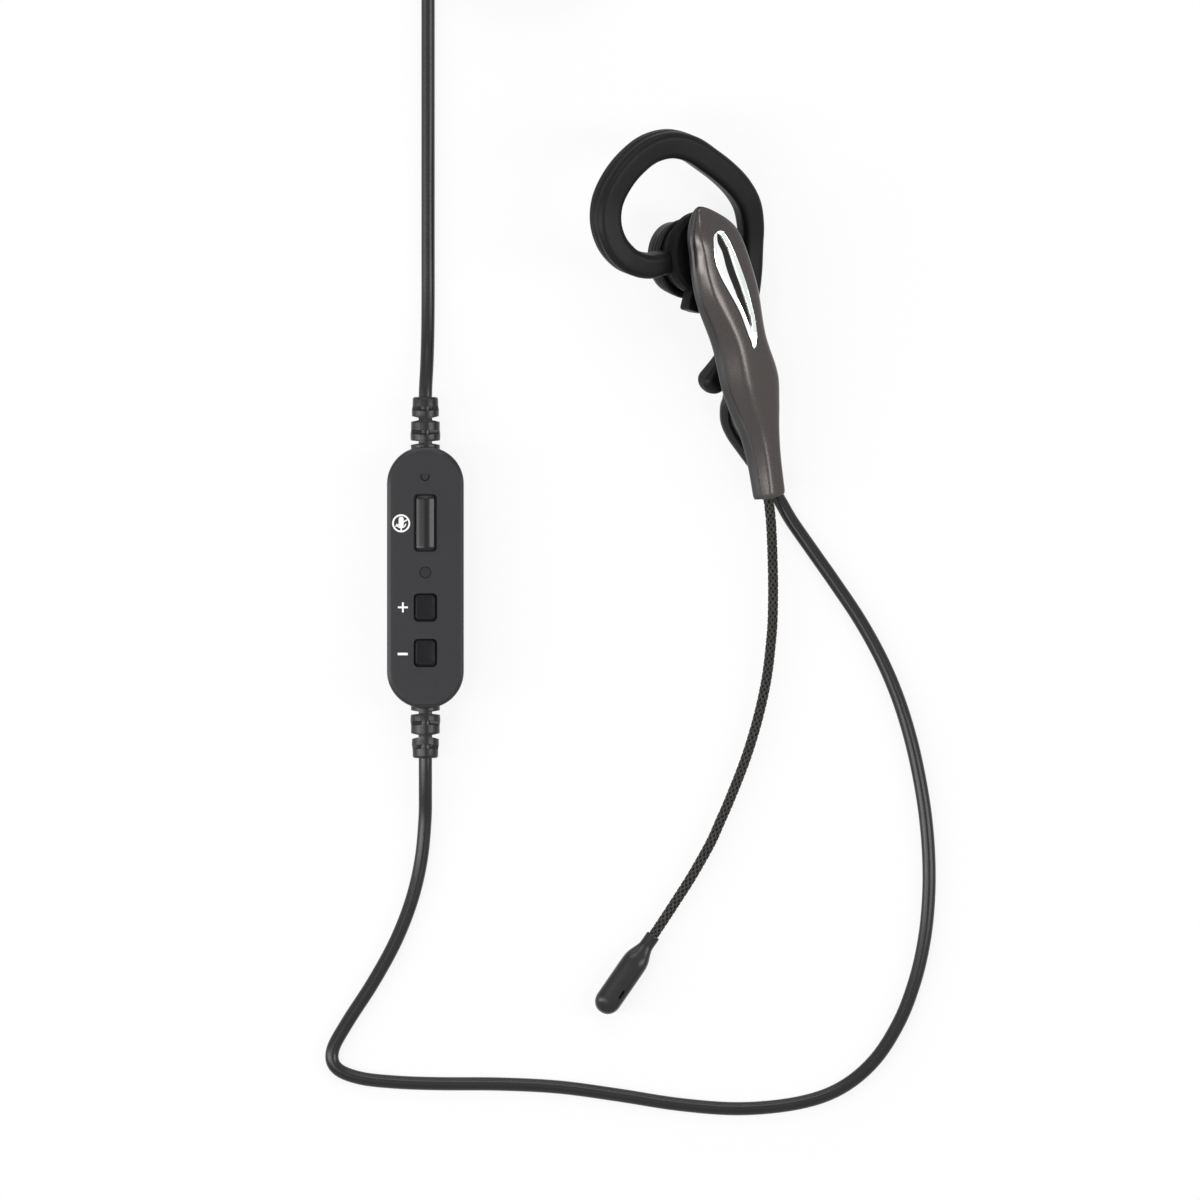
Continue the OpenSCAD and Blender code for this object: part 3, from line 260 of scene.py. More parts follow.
def material(name, base, rough, metallic=0.0, coat=0.0, coat_rough=0.1, specular=0.5, sheen=0.0,
             grain=None, grain_depth=0.0, tint=0.0, tint_scale=120, wave=None, rough_var=0.0):
    """A moulded material: colour drift, grain bump and roughness that varies, all from noise."""
    m = bpy.data.materials.new(name)
    m.use_nodes = True
    nt = m.node_tree
    b = nt.nodes["Principled BSDF"]
    b.inputs["Metallic"].default_value = metallic
    b.inputs["Coat Weight"].default_value = coat
    b.inputs["Coat Roughness"].default_value = coat_rough
    b.inputs["Specular IOR Level"].default_value = specular
    b.inputs["Sheen Weight"].default_value = sheen
    b.inputs["Sheen Roughness"].default_value = 0.5
    co = nt.nodes.new("ShaderNodeTexCoord")

    def noise(scale, detail=3.0, roughness=0.55):
        n = nt.nodes.new("ShaderNodeTexNoise")
        n.inputs["Scale"].default_value = scale
        n.inputs["Detail"].default_value = detail
        n.inputs["Roughness"].default_value = roughness
        nt.links.new(co.outputs["Object"], n.inputs["Vector"])
        return n

    drift = noise(tint_scale, 4)
    ramp = nt.nodes.new("ShaderNodeValToRGB")
    ramp.color_ramp.elements[0].position = 0.3
    ramp.color_ramp.elements[1].position = 0.7
    ramp.color_ramp.elements[0].color = (*[c * (1 - tint) for c in base], 1)
    ramp.color_ramp.elements[1].color = (*[c * (1 + tint) for c in base], 1)
    nt.links.new(drift.outputs["Fac"], ramp.inputs["Fac"])
    nt.links.new(ramp.outputs["Color"], b.inputs["Base Color"])
    wear = noise(tint_scale * 2.3, 5)
    span = nt.nodes.new("ShaderNodeMapRange")
    span.inputs["To Min"].default_value = rough - rough_var
    span.inputs["To Max"].default_value = rough + rough_var
    nt.links.new(wear.outputs["Fac"], span.inputs["Value"])
    nt.links.new(span.outputs["Result"], b.inputs["Roughness"])
    if grain:
        g = noise(grain, 2)
        bump = nt.nodes.new("ShaderNodeBump")
        bump.inputs["Strength"].default_value = 1.0
        bump.inputs["Distance"].default_value = grain_depth * MM
        nt.links.new(g.outputs["Fac"], bump.inputs["Height"])
        nt.links.new(bump.outputs["Normal"], b.inputs["Normal"])
    return m


def flake_paint(name):
    """Dark bronze pearl: fine metal flakes of uneven colour and gloss under a thin clear coat."""
    m = bpy.data.materials.new(name)
    m.use_nodes = True
    nt = m.node_tree
    b = nt.nodes["Principled BSDF"]
    b.inputs["Metallic"].default_value = 0.7
    b.inputs["Specular IOR Level"].default_value = 0.3
    b.inputs["Coat Weight"].default_value = 0.25
    b.inputs["Coat Roughness"].default_value = 0.16
    co = nt.nodes.new("ShaderNodeTexCoord")
    cells = nt.nodes.new("ShaderNodeTexVoronoi")
    cells.inputs["Scale"].default_value = 15000
    nt.links.new(co.outputs["Object"], cells.inputs["Vector"])
    ramp = nt.nodes.new("ShaderNodeValToRGB")
    ramp.color_ramp.elements[0].position = 0.1
    ramp.color_ramp.elements[0].color = (0.044, 0.039, 0.037, 1)
    ramp.color_ramp.elements[1].position = 0.9
    ramp.color_ramp.elements[1].color = (0.078, 0.070, 0.067, 1)
    split = nt.nodes.new("ShaderNodeSeparateColor")
    nt.links.new(cells.outputs["Color"], split.inputs["Color"])
    nt.links.new(split.outputs["Red"], ramp.inputs["Fac"])
    nt.links.new(ramp.outputs["Color"], b.inputs["Base Color"])
    span = nt.nodes.new("ShaderNodeMapRange")
    span.inputs["To Min"].default_value = 0.2
    span.inputs["To Max"].default_value = 0.3
    nt.links.new(split.outputs["Green"], span.inputs["Value"])
    nt.links.new(span.outputs["Result"], b.inputs["Roughness"])
    fine = nt.nodes.new("ShaderNodeTexNoise")
    fine.inputs["Scale"].default_value = 4200
    fine.inputs["Detail"].default_value = 3
    nt.links.new(co.outputs["Object"], fine.inputs["Vector"])
    bump = nt.nodes.new("ShaderNodeBump")
    bump.inputs["Distance"].default_value = 0.006 * MM
    nt.links.new(fine.outputs["Fac"], bump.inputs["Height"])
    nt.links.new(bump.outputs["Normal"], b.inputs["Normal"])
    return m


PAINT = flake_paint("bronze_pearl")
SHELL = material("satin_shell", (0.028, 0.0275, 0.0275), 0.38, specular=0.4, grain=2500, grain_depth=0.005, tint=0.1, rough_var=0.05)
CHROME = material("plated_leaf", (0.93, 0.945, 0.935), 0.1, metallic=1.0, tint=0.01, rough_var=0.03,
                  grain=600, grain_depth=0.002)
INLAY = material("dark_inlay", (0.004, 0.0035, 0.0035), 0.2, specular=0.25, grain=2500, grain_depth=0.003, tint=0.15, rough_var=0.04)
# A duller, darker, greener copy of the leaf's plating: painted shade and reflection on the leaf's right flank
CHROME_SHADE = material("satin_plating", (0.4, 0.44, 0.42), 0.5, metallic=0.75, tint=0.02, rough_var=0.04, grain=2500, grain_depth=0.003)
HOOK = material("hook_rubber", (0.0062, 0.0062, 0.0068), 0.42, specular=0.13, grain=3200,
                grain_depth=0.006, tint=0.15, tint_scale=90, rough_var=0.05)
# A darker, duller copy of the black rubber: painted shade, for the hook's ring in its recess under the cover and for
# the moulded arc
RING_SHADE = material("ring_rubber", (0.004, 0.004, 0.004), 0.6, specular=0.08, grain=3200, grain_depth=0.007, tint=0.15, rough_var=0.07)
TIP = material("tip_rubber", (0.006, 0.006, 0.0063), 0.42, specular=0.16, grain=3000, grain_depth=0.006, tint=0.12, rough_var=0.05)
RELIEF = material("relief_rubber", (0.009, 0.009, 0.0095), 0.3, specular=0.3, grain=3000, grain_depth=0.005, tint=0.12, rough_var=0.05)
RUBBER = material("soft_rubber", (0.009, 0.009, 0.0095), 0.3, specular=0.32, grain=3000,
                  grain_depth=0.005, tint=0.12, rough_var=0.05)
JACKET = material("cord_jacket", (0.009, 0.009, 0.0095), 0.26, specular=0.3, grain=2200,
                  grain_depth=0.004, tint=0.1, rough_var=0.04)
BOX = material("box_plastic", (0.0165, 0.0162, 0.0185), 0.36, specular=0.3, grain=2600, grain_depth=0.005, tint=0.05, rough_var=0.04)
KEY = material("key_plastic", (0.007, 0.007, 0.0085), 0.4, specular=0.12, grain=2400, grain_depth=0.006, tint=0.2, rough_var=0.05)
GLOSS_KEY = material("gloss_key", (0.006, 0.006, 0.007), 0.22, specular=0.27, grain=2400, grain_depth=0.003, tint=0.1, rough_var=0.04)
LIGHT = material("smoked_light", (0.0185, 0.0182, 0.0205), 0.35, specular=0.2, grain=2600, grain_depth=0.004, tint=0.05, rough_var=0.03)
CORE = material("braid_core", (0.006, 0.006, 0.006), 0.7, specular=0.15, tint=0.1, grain=1500, grain_depth=0.01)
STRAND = material("braid_strand", (0.04, 0.037, 0.033), 0.5, specular=0.3, grain=5200, grain_depth=0.02,
                  tint=0.35, tint_scale=600, rough_var=0.1)
PRINT = material("white_print", (0.86, 0.86, 0.86), 0.55, specular=0.3, grain=2500, grain_depth=0.004, tint=0.02)
STEEL = material("steel", (0.55, 0.55, 0.57), 0.32, metallic=1.0, grain=1800, grain_depth=0.003, tint=0.06, rough_var=0.08)
BRASS = material("brass", (0.68, 0.5, 0.22), 0.3, metallic=1.0, tint=0.08, rough_var=0.08, grain=1500, grain_depth=0.003)
GOLD = material("gold_plate", (0.85, 0.62, 0.25), 0.22, metallic=1.0, tint=0.04, rough_var=0.05, grain=1500, grain_depth=0.002)
WHITE = material("white_plastic", (0.75, 0.75, 0.74), 0.45, tint=0.03, grain=2000, grain_depth=0.004)
BOARD = material("solder_mask", (0.02, 0.12, 0.05), 0.3, tint=0.15, tint_scale=500, grain=1500, grain_depth=0.01)
CHIP = material("chips", (0.02, 0.02, 0.022), 0.6, specular=0.3, tint=0.15, grain=2500, grain_depth=0.01)
STRAP = material("strap_weave", (0.015, 0.015, 0.016), 0.75, specular=0.2, grain=1600, grain_depth=0.06, tint=0.3, tint_scale=900)
BLACK = material("black_plastic", (0.016, 0.016, 0.017), 0.45, specular=0.3, grain=2500, grain_depth=0.008, tint=0.1, rough_var=0.05)

for node, mat in {
    "housing_screws": STEEL, "neck_nut": BRASS, "speaker_cup": BLACK, "speaker_driver": STEEL,
    "speaker_grille": STEEL, "friction_washer": STEEL, "boom_anchor": BRASS, "mic_capsule": STEEL,
    "circuit_board": BOARD, "board_parts": CHIP, "tact_switches": STEEL, "control_screws": STEEL,
    "light_pipe": LIGHT, "coil_tie": STRAP, "plug_grip": BLACK, "plug_shell": STEEL, "plug_tongue": WHITE,
    "plug_contacts": GOLD, "cord_boot": RUBBER,
}.items():
    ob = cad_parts[node]
    ob.data.materials.clear()
    ob.data.materials.append(mat)


# ---------------------------------------------------------------- camera and lamps

cam_data = bpy.data.cameras.new("camera")
cam_data.type = "ORTHO"
cam_data.ortho_scale = 0.312
cam_data.clip_end = 20
camera = bpy.data.objects.new("camera", cam_data)
camera.location = (-0.0221, -0.00754, 1.2)
bpy.context.scene.collection.objects.link(camera)
bpy.context.scene.camera = camera


def lamp(name, at, aim, size, size_y, power, colour=(1, 1, 1)):
    d = bpy.data.lights.new(name, "AREA")
    d.shape = "RECTANGLE"
    d.size, d.size_y = size, size_y
    d.energy = power
    d.color = colour
    ob = bpy.data.objects.new(name, d)
    ob.location = at
    ob.rotation_euler = (Vector(aim) - Vector(at)).to_track_quat("-Z", "Y").to_euler()
    bpy.context.scene.collection.objects.link(ob)
    return ob


lamp("left_box", (-0.85, -0.22, 1.0), (-0.02, -0.22, 0), 0.34, 1.45, 9.6)
lamp("right_box", (0.98, 0.0, 0.95), (-0.02, 0, 0), 0.34, 1.0, 7.2)
lamp("top_edge", (-0.1, 1.35, 0.34), (-0.1, 0, 0), 1.3, 0.22, 3.5)
lamp("left_low", (-1.2, -0.05, 0.5), (-0.02, -0.05, 0), 0.34, 1.1, 4.0)
lamp("top_fill", (-0.1, 1.1, 1.3), (-0.02, 0, 0), 1.0, 0.5, 6.0)

def looked_at(tree):
    """1 where the camera, a reflection or a clear piece looks, and 0 for the light that falls on the object."""
    rays = tree.nodes.new("ShaderNodeLightPath")
    last = rays.outputs["Is Camera Ray"]
    for kind in ("Is Glossy Ray", "Is Transmission Ray"):
        either = tree.nodes.new("ShaderNodeMath")
        either.operation = "MAXIMUM"
        tree.links.new(last, either.inputs[0])
        tree.links.new(rays.outputs[kind], either.inputs[1])
        last = either.outputs["Value"]
    return last


world = bpy.data.worlds.new("studio")
bpy.context.scene.world = world
world.use_nodes = True
wn = world.node_tree
bg = wn.nodes["Background"]
bg.inputs["Color"].default_value = (1, 1, 1, 1)
bg.inputs["Strength"].default_value = 0.32
seen = wn.nodes.new("ShaderNodeBackground")
seen.inputs["Color"].default_value = (1, 1, 1, 1)
wmix = wn.nodes.new("ShaderNodeMixShader")
wn.links.new(looked_at(wn), wmix.inputs["Fac"])
wn.links.new(bg.outputs["Background"], wmix.inputs[1])
wn.links.new(seen.outputs["Background"], wmix.inputs[2])
wn.links.new(wmix.outputs["Shader"], wn.nodes["World Output"].inputs["Surface"])

floor_mat = bpy.data.materials.new("pale_floor")
floor_mat.use_nodes = True
fn = floor_mat.node_tree
fb = fn.nodes["Principled BSDF"]
fb.inputs["Base Color"].default_value = (0.86, 0.86, 0.86, 1)
fb.inputs["Roughness"].default_value = 0.9
fb.inputs["Specular IOR Level"].default_value = 0.1
glow = fn.nodes.new("ShaderNodeEmission")
glow.inputs["Color"].default_value = (1, 1, 1, 1)
glow.inputs["Strength"].default_value = 1.0
share = fn.nodes.new("ShaderNodeMath")
share.operation = "MULTIPLY"
share.inputs[1].default_value = 0.86
fmix = fn.nodes.new("ShaderNodeMixShader")
fn.links.new(looked_at(fn), share.inputs[0])
fn.links.new(share.outputs["Value"], fmix.inputs["Fac"])
fn.links.new(fb.outputs["BSDF"], fmix.inputs[1])
fn.links.new(glow.outputs["Emission"], fmix.inputs[2])
fn.links.new(fmix.outputs["Shader"], fn.nodes["Material Output"].inputs["Surface"])
me = bpy.data.meshes.new("floor")
me.from_pydata([(-4, -4, -0.0002), (4, -4, -0.0002), (4, 4, -0.0002), (-4, 4, -0.0002)], [], [(0, 1, 2, 3)])
me.materials.append(floor_mat)
floor = bpy.data.objects.new("floor", me)
bpy.context.scene.collection.objects.link(floor)


# ---------------------------------------------------------------- cords

CORD_D = 3.5
LAY = CORD_D / 2
BOX_AT = (-67.5, -1.7)
RELIEF_END = 46.7
EARPIECE = [
    (11.5, 44.6, 7.9), (10.8, 42.6, 6.8), (10.9, 39, 4.9), (12.4, 35.5, 3.5), (15, 31.8, 2.4), (17.7, 28.2, 1.9),
    (21.2, 23.9, LAY), (24.6, 18.4, LAY), (27.6, 13.2, LAY), (32.6, 6, LAY), (39.2, -3.4, LAY),
    (45.6, -13, LAY), (51.2, -23.2, LAY), (55.5, -33.4, LAY), (58.7, -43.8, LAY), (61, -54.2, LAY),
    (62.6, -64.6, LAY), (63.4, -75.2, LAY), (63.3, -85.6, LAY), (62.2, -96, LAY), (59.8, -106.5, LAY),
    (55.7, -117.2, LAY), (49.2, -127.3, LAY), (40.4, -134.5, LAY), (29.5, -138.3, LAY), (14.4, -139.8, LAY),
    (-1.4, -138.7, LAY), (-17, -136.3, LAY), (-32.6, -134.2, LAY), (-48, -133.4, LAY), (-63.6, -133.3, LAY),
    (-75, -132.9, LAY), (-84.6, -131.8, LAY), (-90.6, -129.2, LAY), (-91.6, -124.6, LAY),
    (-87.8, -117.4, LAY), (-81.1, -107, LAY), (-75.2, -96.2, LAY), (-71, -85.4, LAY), (-68.6, -75, LAY + 0.2),
    (-67.6, -64.6, 2.8), (-67.5, -57, 4.4), (-67.5, BOX_AT[1] - RELIEF_END - 3.4, 5.2),
    (BOX_AT[0], BOX_AT[1] - RELIEF_END, 5.5),
]
COIL_START = (-66.8, 178, 0.8 + 0.1 + LAY)
PLUG = [
    (BOX_AT[0], BOX_AT[1] + RELIEF_END, 5.5), (-67.4, BOX_AT[1] + RELIEF_END + 3.4, 5.2),
    (-67.1, 54, 4.1), (-66.9, 61, 2.6), (-66.8, 70, LAY + 0.1), (-66.8, 82, LAY), (-66.8, 96, LAY),
    (-66.8, 112, LAY), (-66.8, 128, LAY), (-66.8, 144, LAY), (-66.8, 157, LAY + 0.2), (-66.8, 168, LAY + 0.6),
    (-66.8, 178 - CORD_D, COIL_START[2]),
]
PITCH = CORD_D + 0.45
TURNS, LAYERS, INNER = 3, 4, 13.4
OUTER = INNER + TURNS * PITCH
TAIL_Z = COIL_START[2] + (LAYERS - 1) * PITCH
TAIL = [
    (-66.8, 178 + CORD_D, TAIL_Z), (-66.8, 186, TAIL_Z - 0.3), (-66.6, 191, TAIL_Z - 1.3),
    (-65, 196.6, TAIL_Z - 3.4), (-61.6, 201.8, TAIL_Z - 6), (-56.2, 205.9, TAIL_Z - 8.3),
    (-46, 207.4, 4.3), (-41, 208.3, 3.9), (-36.6, 208.5, 3.8),
]


def coil_point(s):
    k = math.floor(s / TURNS)
    f = s - k * TURNS
    r = OUTER - PITCH * (f if k % 2 == 0 else TURNS - f)
    j = math.floor(s / TURNS + 0.5)
    g = s - j * TURNS
    if j < 1:
        z = 0
    elif j >= LAYERS:
        z = (LAYERS - 1) * PITCH
    else:
        z = PITCH * (j - 1 + max(0, min(1, (g + 0.25) / 0.5)))
    a = 2 * math.pi * s
    return Vector((COIL_START[0] + OUTER - r * math.cos(a), COIL_START[1] + r * math.sin(a), COIL_START[2] + z))


coil = [coil_point(i / 48) for i in range(TURNS * LAYERS * 48)] + [coil_point(TURNS * LAYERS - 0.00001)]
coil = [coil[0] - Vector((0, CORD_D, 0))] + coil + [coil[-1] + Vector((0, CORD_D, 0))]


def cord_curve(name, points, body="headset"):
    """A cord as one open spline through points, thick as the cord."""
    cu = bpy.data.curves.new(name, "CURVE")
    cu.dimensions = "3D"
    cu.bevel_depth = CORD_D / 2 * MM
    cu.bevel_resolution = 7
    cu.use_fill_caps = True
    cu.resolution_u = 1
    sp = cu.splines.new("POLY")
    sp.points.add(len(points) - 1)
    for p, q in zip(sp.points, points):
        p.co = (q[0] * MM, q[1] * MM, q[2] * MM, 1)
    sp.use_smooth = True
    cu.materials.append(JACKET)
    ob = bpy.data.objects.new(name, cu)
    bpy.context.scene.collection.objects.link(ob)
    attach(ob, body)
    return ob


ear_line = curve(EARPIECE, 6)
ear_cord = cord_curve("earpiece_lead", ear_line)
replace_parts(ear_cord, "earpiece_cord")
plug_line = curve(PLUG, 5) + coil[1:-1] + curve(TAIL, 5)
plug_cord = cord_curve("plug_lead", plug_line)
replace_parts(plug_cord, "plug_cord", "cord_coil", "cord_tail")


# ---------------------------------------------------------------- ear housing

FOOT = Vector((20.9, 19.2, 7.6))
HOUSE = (Matrix.Translation(FOOT) @ Matrix.Rotation(math.radians(11.3), 4, "Z")
         @ Matrix.Rotation(math.radians(10), 4, "X") @ Matrix.Rotation(math.radians(42), 4, "Y"))
LEN, WALL, STEP, SQ = 79, 1.2, 0.3, 5
COVER_LEAN, SEAM_RISE, NECK_UP = 0.09, 1, 65
STATIONS = [
    (0, 7, 4.5, 2.4, 0.5), (10, 7.6, 4.8, 2.5, 1.1), (17, 9.5, 5.1, 2.6, 1.4), (24, 13, 5.7, 2.8, 1.3),
    (31, 15.2, 6.2, 3, 1.3), (42, 13.9, 6.3, 3, 0.3), (54, 17.5, 5.6, 3, -0.3), (62, 17.3, 4.7, 3, -0.4),
    (68, 15.6, 4.1, 3, -0.4), (73, 13.5, 3.6, 3, -1.2), (79, 8.3, 3.1, 3, -3),
]


def house_size(up, inset=0.0):
    t = read_table(STATIONS, up)
    top = LEN - inset
    s = max(0, (up - (LEN - 10)) / (top - (LEN - 10)))
    c = max(0.02, max(0, 1 - s * s) ** 0.5)
    return (t[1] / 2 - inset) * c, (t[2] - inset) * c, (t[3] - inset) * c, t[4]


def lean(across):
    return 1 - COVER_LEAN * max(0, -across) ** 1.5


def seam_at(up):
    return SEAM_RISE * max(0, 1 - up / NECK_UP) ** 0.6


CREASE_SQ = 7      # how square the painted cover's left corner is
DRAFT = [(0, 0.8), (20, 1.7), (30, 2.0), (44, 2.0), (58, 1.3), (70, 0.8), (79, 0.4)]


def house_point(up, turn, side, inset=0.0):
    w, f, r, cx = house_size(up, inset)
    w = w - (STEP if side < 0 else 0)
    ease = 0.93 + 0.07 * min(1, up / 0.9) ** 0.5 if up < 0.9 else 1
    c = math.cos(turn)
    q = 2 / (CREASE_SQ if side > 0 and c < 0 else SQ)
    across, high = math.copysign(abs(c) ** q, c), ease * max(0, math.sin(turn)) ** q
    if side > 0:
        z = max(seam_at(up), f * high * lean(across))
        pull = read_table(DRAFT, up)[1] * max(0, -across) ** 2 * z / f
    else:
        z = -r * high if high > 0.01 else seam_at(up)
        pull = 0
    if not inset and abs(across) > 0.9 and abs(z - seam_at(up)) < 0.3:
        pull -= math.copysign(0.4 * (1 - abs(z - seam_at(up)) / 0.3), across)
    return Vector((cx + w * ease * across + pull, up, z))


def cover_face(across, up):
    w, f, r, cx = house_size(up)
    pull = read_table(DRAFT, up)[1] * max(0, (cx - across) / w) ** 2 * 0.85
    a = max(-1, min(1, (across - pull - cx) / w))
    n = CREASE_SQ if a < 0 else SQ
    return f * lean(a) * (1 - abs(a) ** n) ** (1 / n)


def turn_steps(n):
    """Angles bunched towards the section's corners, where it bends most."""
    out = []
    for k in range(n + 1):
        t = k / n
        out.append(math.pi * (t - 0.085 * math.sin(4 * math.pi * t) / 2))
    return out


def house_ups():
    ups = [0, 0.1, 0.25, 0.45, 0.7, 0.9]
    ups += [0.9 + (LEN - 12.9) * k / 110 for k in range(1, 111)]
    ups += [LEN - 12 + 12 * math.sin(math.pi / 2 * k / 30) for k in range(1, 31)]
    return ups


def half_house(side, inset_lip):
    turns, ups = turn_steps(56), house_ups()
    m = len(turns)
    outer = [house_point(u, t, side) for u in ups for t in turns]
    inner = [house_point(min(max(u, WALL), LEN - WALL - 0.01), t, side, WALL) for u in ups for t in turns]
    for k, u in enumerate(ups):
        for j in range(m):
            if u > LEN - WALL:
                inner[k * m + j].y = min(inner[k * m + j].y, LEN - WALL)
    n, off = len(ups), len(outer)
    faces = []
    for i in range(n - 1):
        for j in range(m - 1):
            a = i * m + j
            faces.append((a, a + 1, a + 1 + m, a + m))
            faces.append((off + a, off + a + m, off + a + 1 + m, off + a + 1))
        for j in (0, m - 1):
            a = i * m + j
            faces.append((a, a + m, off + a + m, off + a))
    for row in (0, n - 1):
        faces.append(tuple(row * m + j for j in range(m)))
        faces.append(tuple(off + row * m + j for j in range(m)))
    for row in (0, n - 1):
        faces.append((row * m, row * m + m - 1, off + row * m + m - 1, off + row * m))
    return outer + inner, faces


LEAF = [
    (39.8, 0.45, 0.8), (40.3, 0.2, 1.25), (41.8, 0, 2.0), (43.6, -0.4, 2.55), (46, -0.75, 3.05), (48.5, -1.1, 3.2),
    (51, -1.65, 3.2), (53.7, -2.5, 3.2), (56.5, -3.4, 3.2), (59.5, -4.3, 3.0), (62.3, -4.8, 2.7), (64.5, -4.78, 2.4),
    (67, -4.5, 1.9), (69, -4.0, 1.4), (70.7, -3.4, 0.8), (71.5, -2.7, 0.3), (71.9, -1.7, -0.5),
]


def leaf_outline(out, n=80):
    """The leaf's outline on the cover, wider all round by out."""
    low, high = LEAF[0][0] - out, LEAF[-1][0] + out
    ups = [lerp(low, high, (1 - math.cos(math.pi * k / n)) / 2) for k in range(n + 1)]
    rows = [read_table(LEAF, max(LEAF[0][0], min(LEAF[-1][0], u))) for u in ups]
    return [(r[1] - out, u) for r, u in zip(rows, ups)][::-1] + [(r[2] + out, u) for r, u in zip(rows, ups)]


def prism(outline, low, high):
    n = len(outline)
    verts = [(x, y, low) for x, y in outline] + [(x, y, high) for x, y in outline]
    faces = [tuple(range(n - 1, -1, -1)), tuple(range(n, 2 * n))]
    faces += [(k, (k + 1) % n, n + (k + 1) % n, n + k) for k in range(n)]
    return verts, faces


def cylinder(r, low, high, at=(0, 0), sides=48):
    return prism([(at[0] + r * math.cos(2 * math.pi * k / sides), at[1] + r * math.sin(2 * math.pi * k / sides))
                  for k in range(sides)], low, high)


boom_hole = placed(cylinder(1.45, -3, 3), Matrix.Translation((0, 0, 1)) @ Matrix.Rotation(math.radians(-90), 4, "X"))

cover = cut_mesh("cover", half_house(1, 0), [prism(leaf_outline(0.16), 2.6, 12), boom_hole], 0)
cover.transform(Matrix.Scale(1 / MM, 4))
cover.transform(HOUSE)
cover.transform(Matrix.Scale(MM, 4))
finish_mesh("painted_cover", cover, PAINT, "headset", ("front_cover",), 50)

boss = placed(revolve(soften([(4.6, -4.4), (5.6, -4.4), (5.9, -4.1), (5.9, -1.9), (4.6, -1.9)], 0.2), 64, True),
              Matrix.Translation((0, 65, 0)))
rear = cut_mesh("rear", half_house(-1, 0), [boom_hole, cylinder(4.6, -8, 2, (0, 65))], 0)
rear.transform(Matrix.Scale(1 / MM, 4))
rear.transform(HOUSE)
rear.transform(Matrix.Scale(MM, 4))
finish_mesh("rear_half", rear, SHELL, "headset", ("rear_shell",), 50)
v, f = placed(boss, HOUSE)
make("rear_boss", v, f, SHELL, "headset", "shell_plastic")

# The leaf: a beaded edge, two bright flanks and a dark stripe let into the valley between them; the right flank carries
# a darker, greener copy of the plating as painted shade and reflection
N_LEAF = 130


def leaf_spot(up, share, off, z):
    """A spot on the leaf: share of its width from the left, an offset in mm and a height over the cover."""
    _, left, right = read_table(LEAF, up)
    x = lerp(left, right, share) + off * min(1, (right - left) / 4)
    return x, up, cover_face(x, up) + z * min(1, (right - left) / 2.5)


def leaf_strip(name, low, high, cols, thick, mat, angle=35):
    """A strip of the leaf between two heights; each column is share, offset and height."""
    rings = []
    for k in range(N_LEAF + 1):
        up = lerp(low, high, (1 - math.cos(math.pi * k / N_LEAF)) / 2)
        row = cols(up)
        rings.append([leaf_spot(up, *c) for c in row] + [leaf_spot(up, s, o, -thick) for s, o, _ in row[::-1]])
    v, f = placed(skin(rings), HOUSE)
    return make(name, v, f, mat, "headset", "chrome_trim", ("leaf_trim",) if name == "plated_leaf" else (), angle)


def stripe(up):
    """The stripe's two edges as shares of the leaf's width; it closes at its lower and upper end."""
    low = max(0, min(1, (up - 45) / 3)) ** 0.6
    top = max(0, min(1, (71.7 - up) / 1.2)) ** 0.6
    high = max(0, min(1, (up - 54) / 11))
    lean = max(0, up - 66.6)
    lo, hi = 0.32 + 0.11 * high - 0.042 * lean, 0.74 + 0.08 * high - 0.03 * lean
    return lerp(0.63, lerp(0.36, lo, top), low), lerp(0.63, lerp(0.4, hi, top), low)


def plate(up):
    lo, hi = stripe(up)
    cols = [(0, 0, -0.1), (0, 0.03, 0.2), (0, 0.14, 0.34), (0, 0.34, 0.36), (0, 0.5, 0.24), (0, 0.56, -0.12), (0, 0.8, -0.12),
            (0, 0.86, 0.1)]
    cols += [(lerp(0.06, lo, k / 6), 0.86 * (1 - k / 6) + 0.02, lerp(0.22, -0.12, (k / 6) ** 1.5)) for k in range(1, 7)]
    cols += [(lo + 0.03, 0, -0.5), (lerp(lo, hi, 0.5), 0, -0.62), (hi - 0.03, 0, -0.5)]
    cols += [(lerp(hi, 0.96, k / 5), 0, lerp(-0.05, 0.26, k / 5)) for k in range(6)]
    return cols + [(1, -0.05, 0.18), (1, 0, -0.1)]


leaf_strip("plated_leaf", 39.8, 71.9, plate, 0.9, CHROME)
# The right flank, in the darker plating copy: painted shade and reflection
leaf_strip("satin_band", 43.6, 71.2, lambda up: [(lerp(stripe(up)[1], 0.93, k / 5) + 0.01, 0, lerp(0.02, 0.34, k / 5)) for k in range(6)],
           0.1, CHROME_SHADE)
leaf_strip("leaf_inlay", 45.1, 71.6, lambda up: [(lerp(*stripe(up), k / 6), 0, -0.22 - 0.3 * math.sin(math.pi * (0.15 + 0.6 * k / 6)))
                                                for k in range(7)], 0.5, INLAY, 12)


# ---------------------------------------------------------------- pod: ring, cup, tip

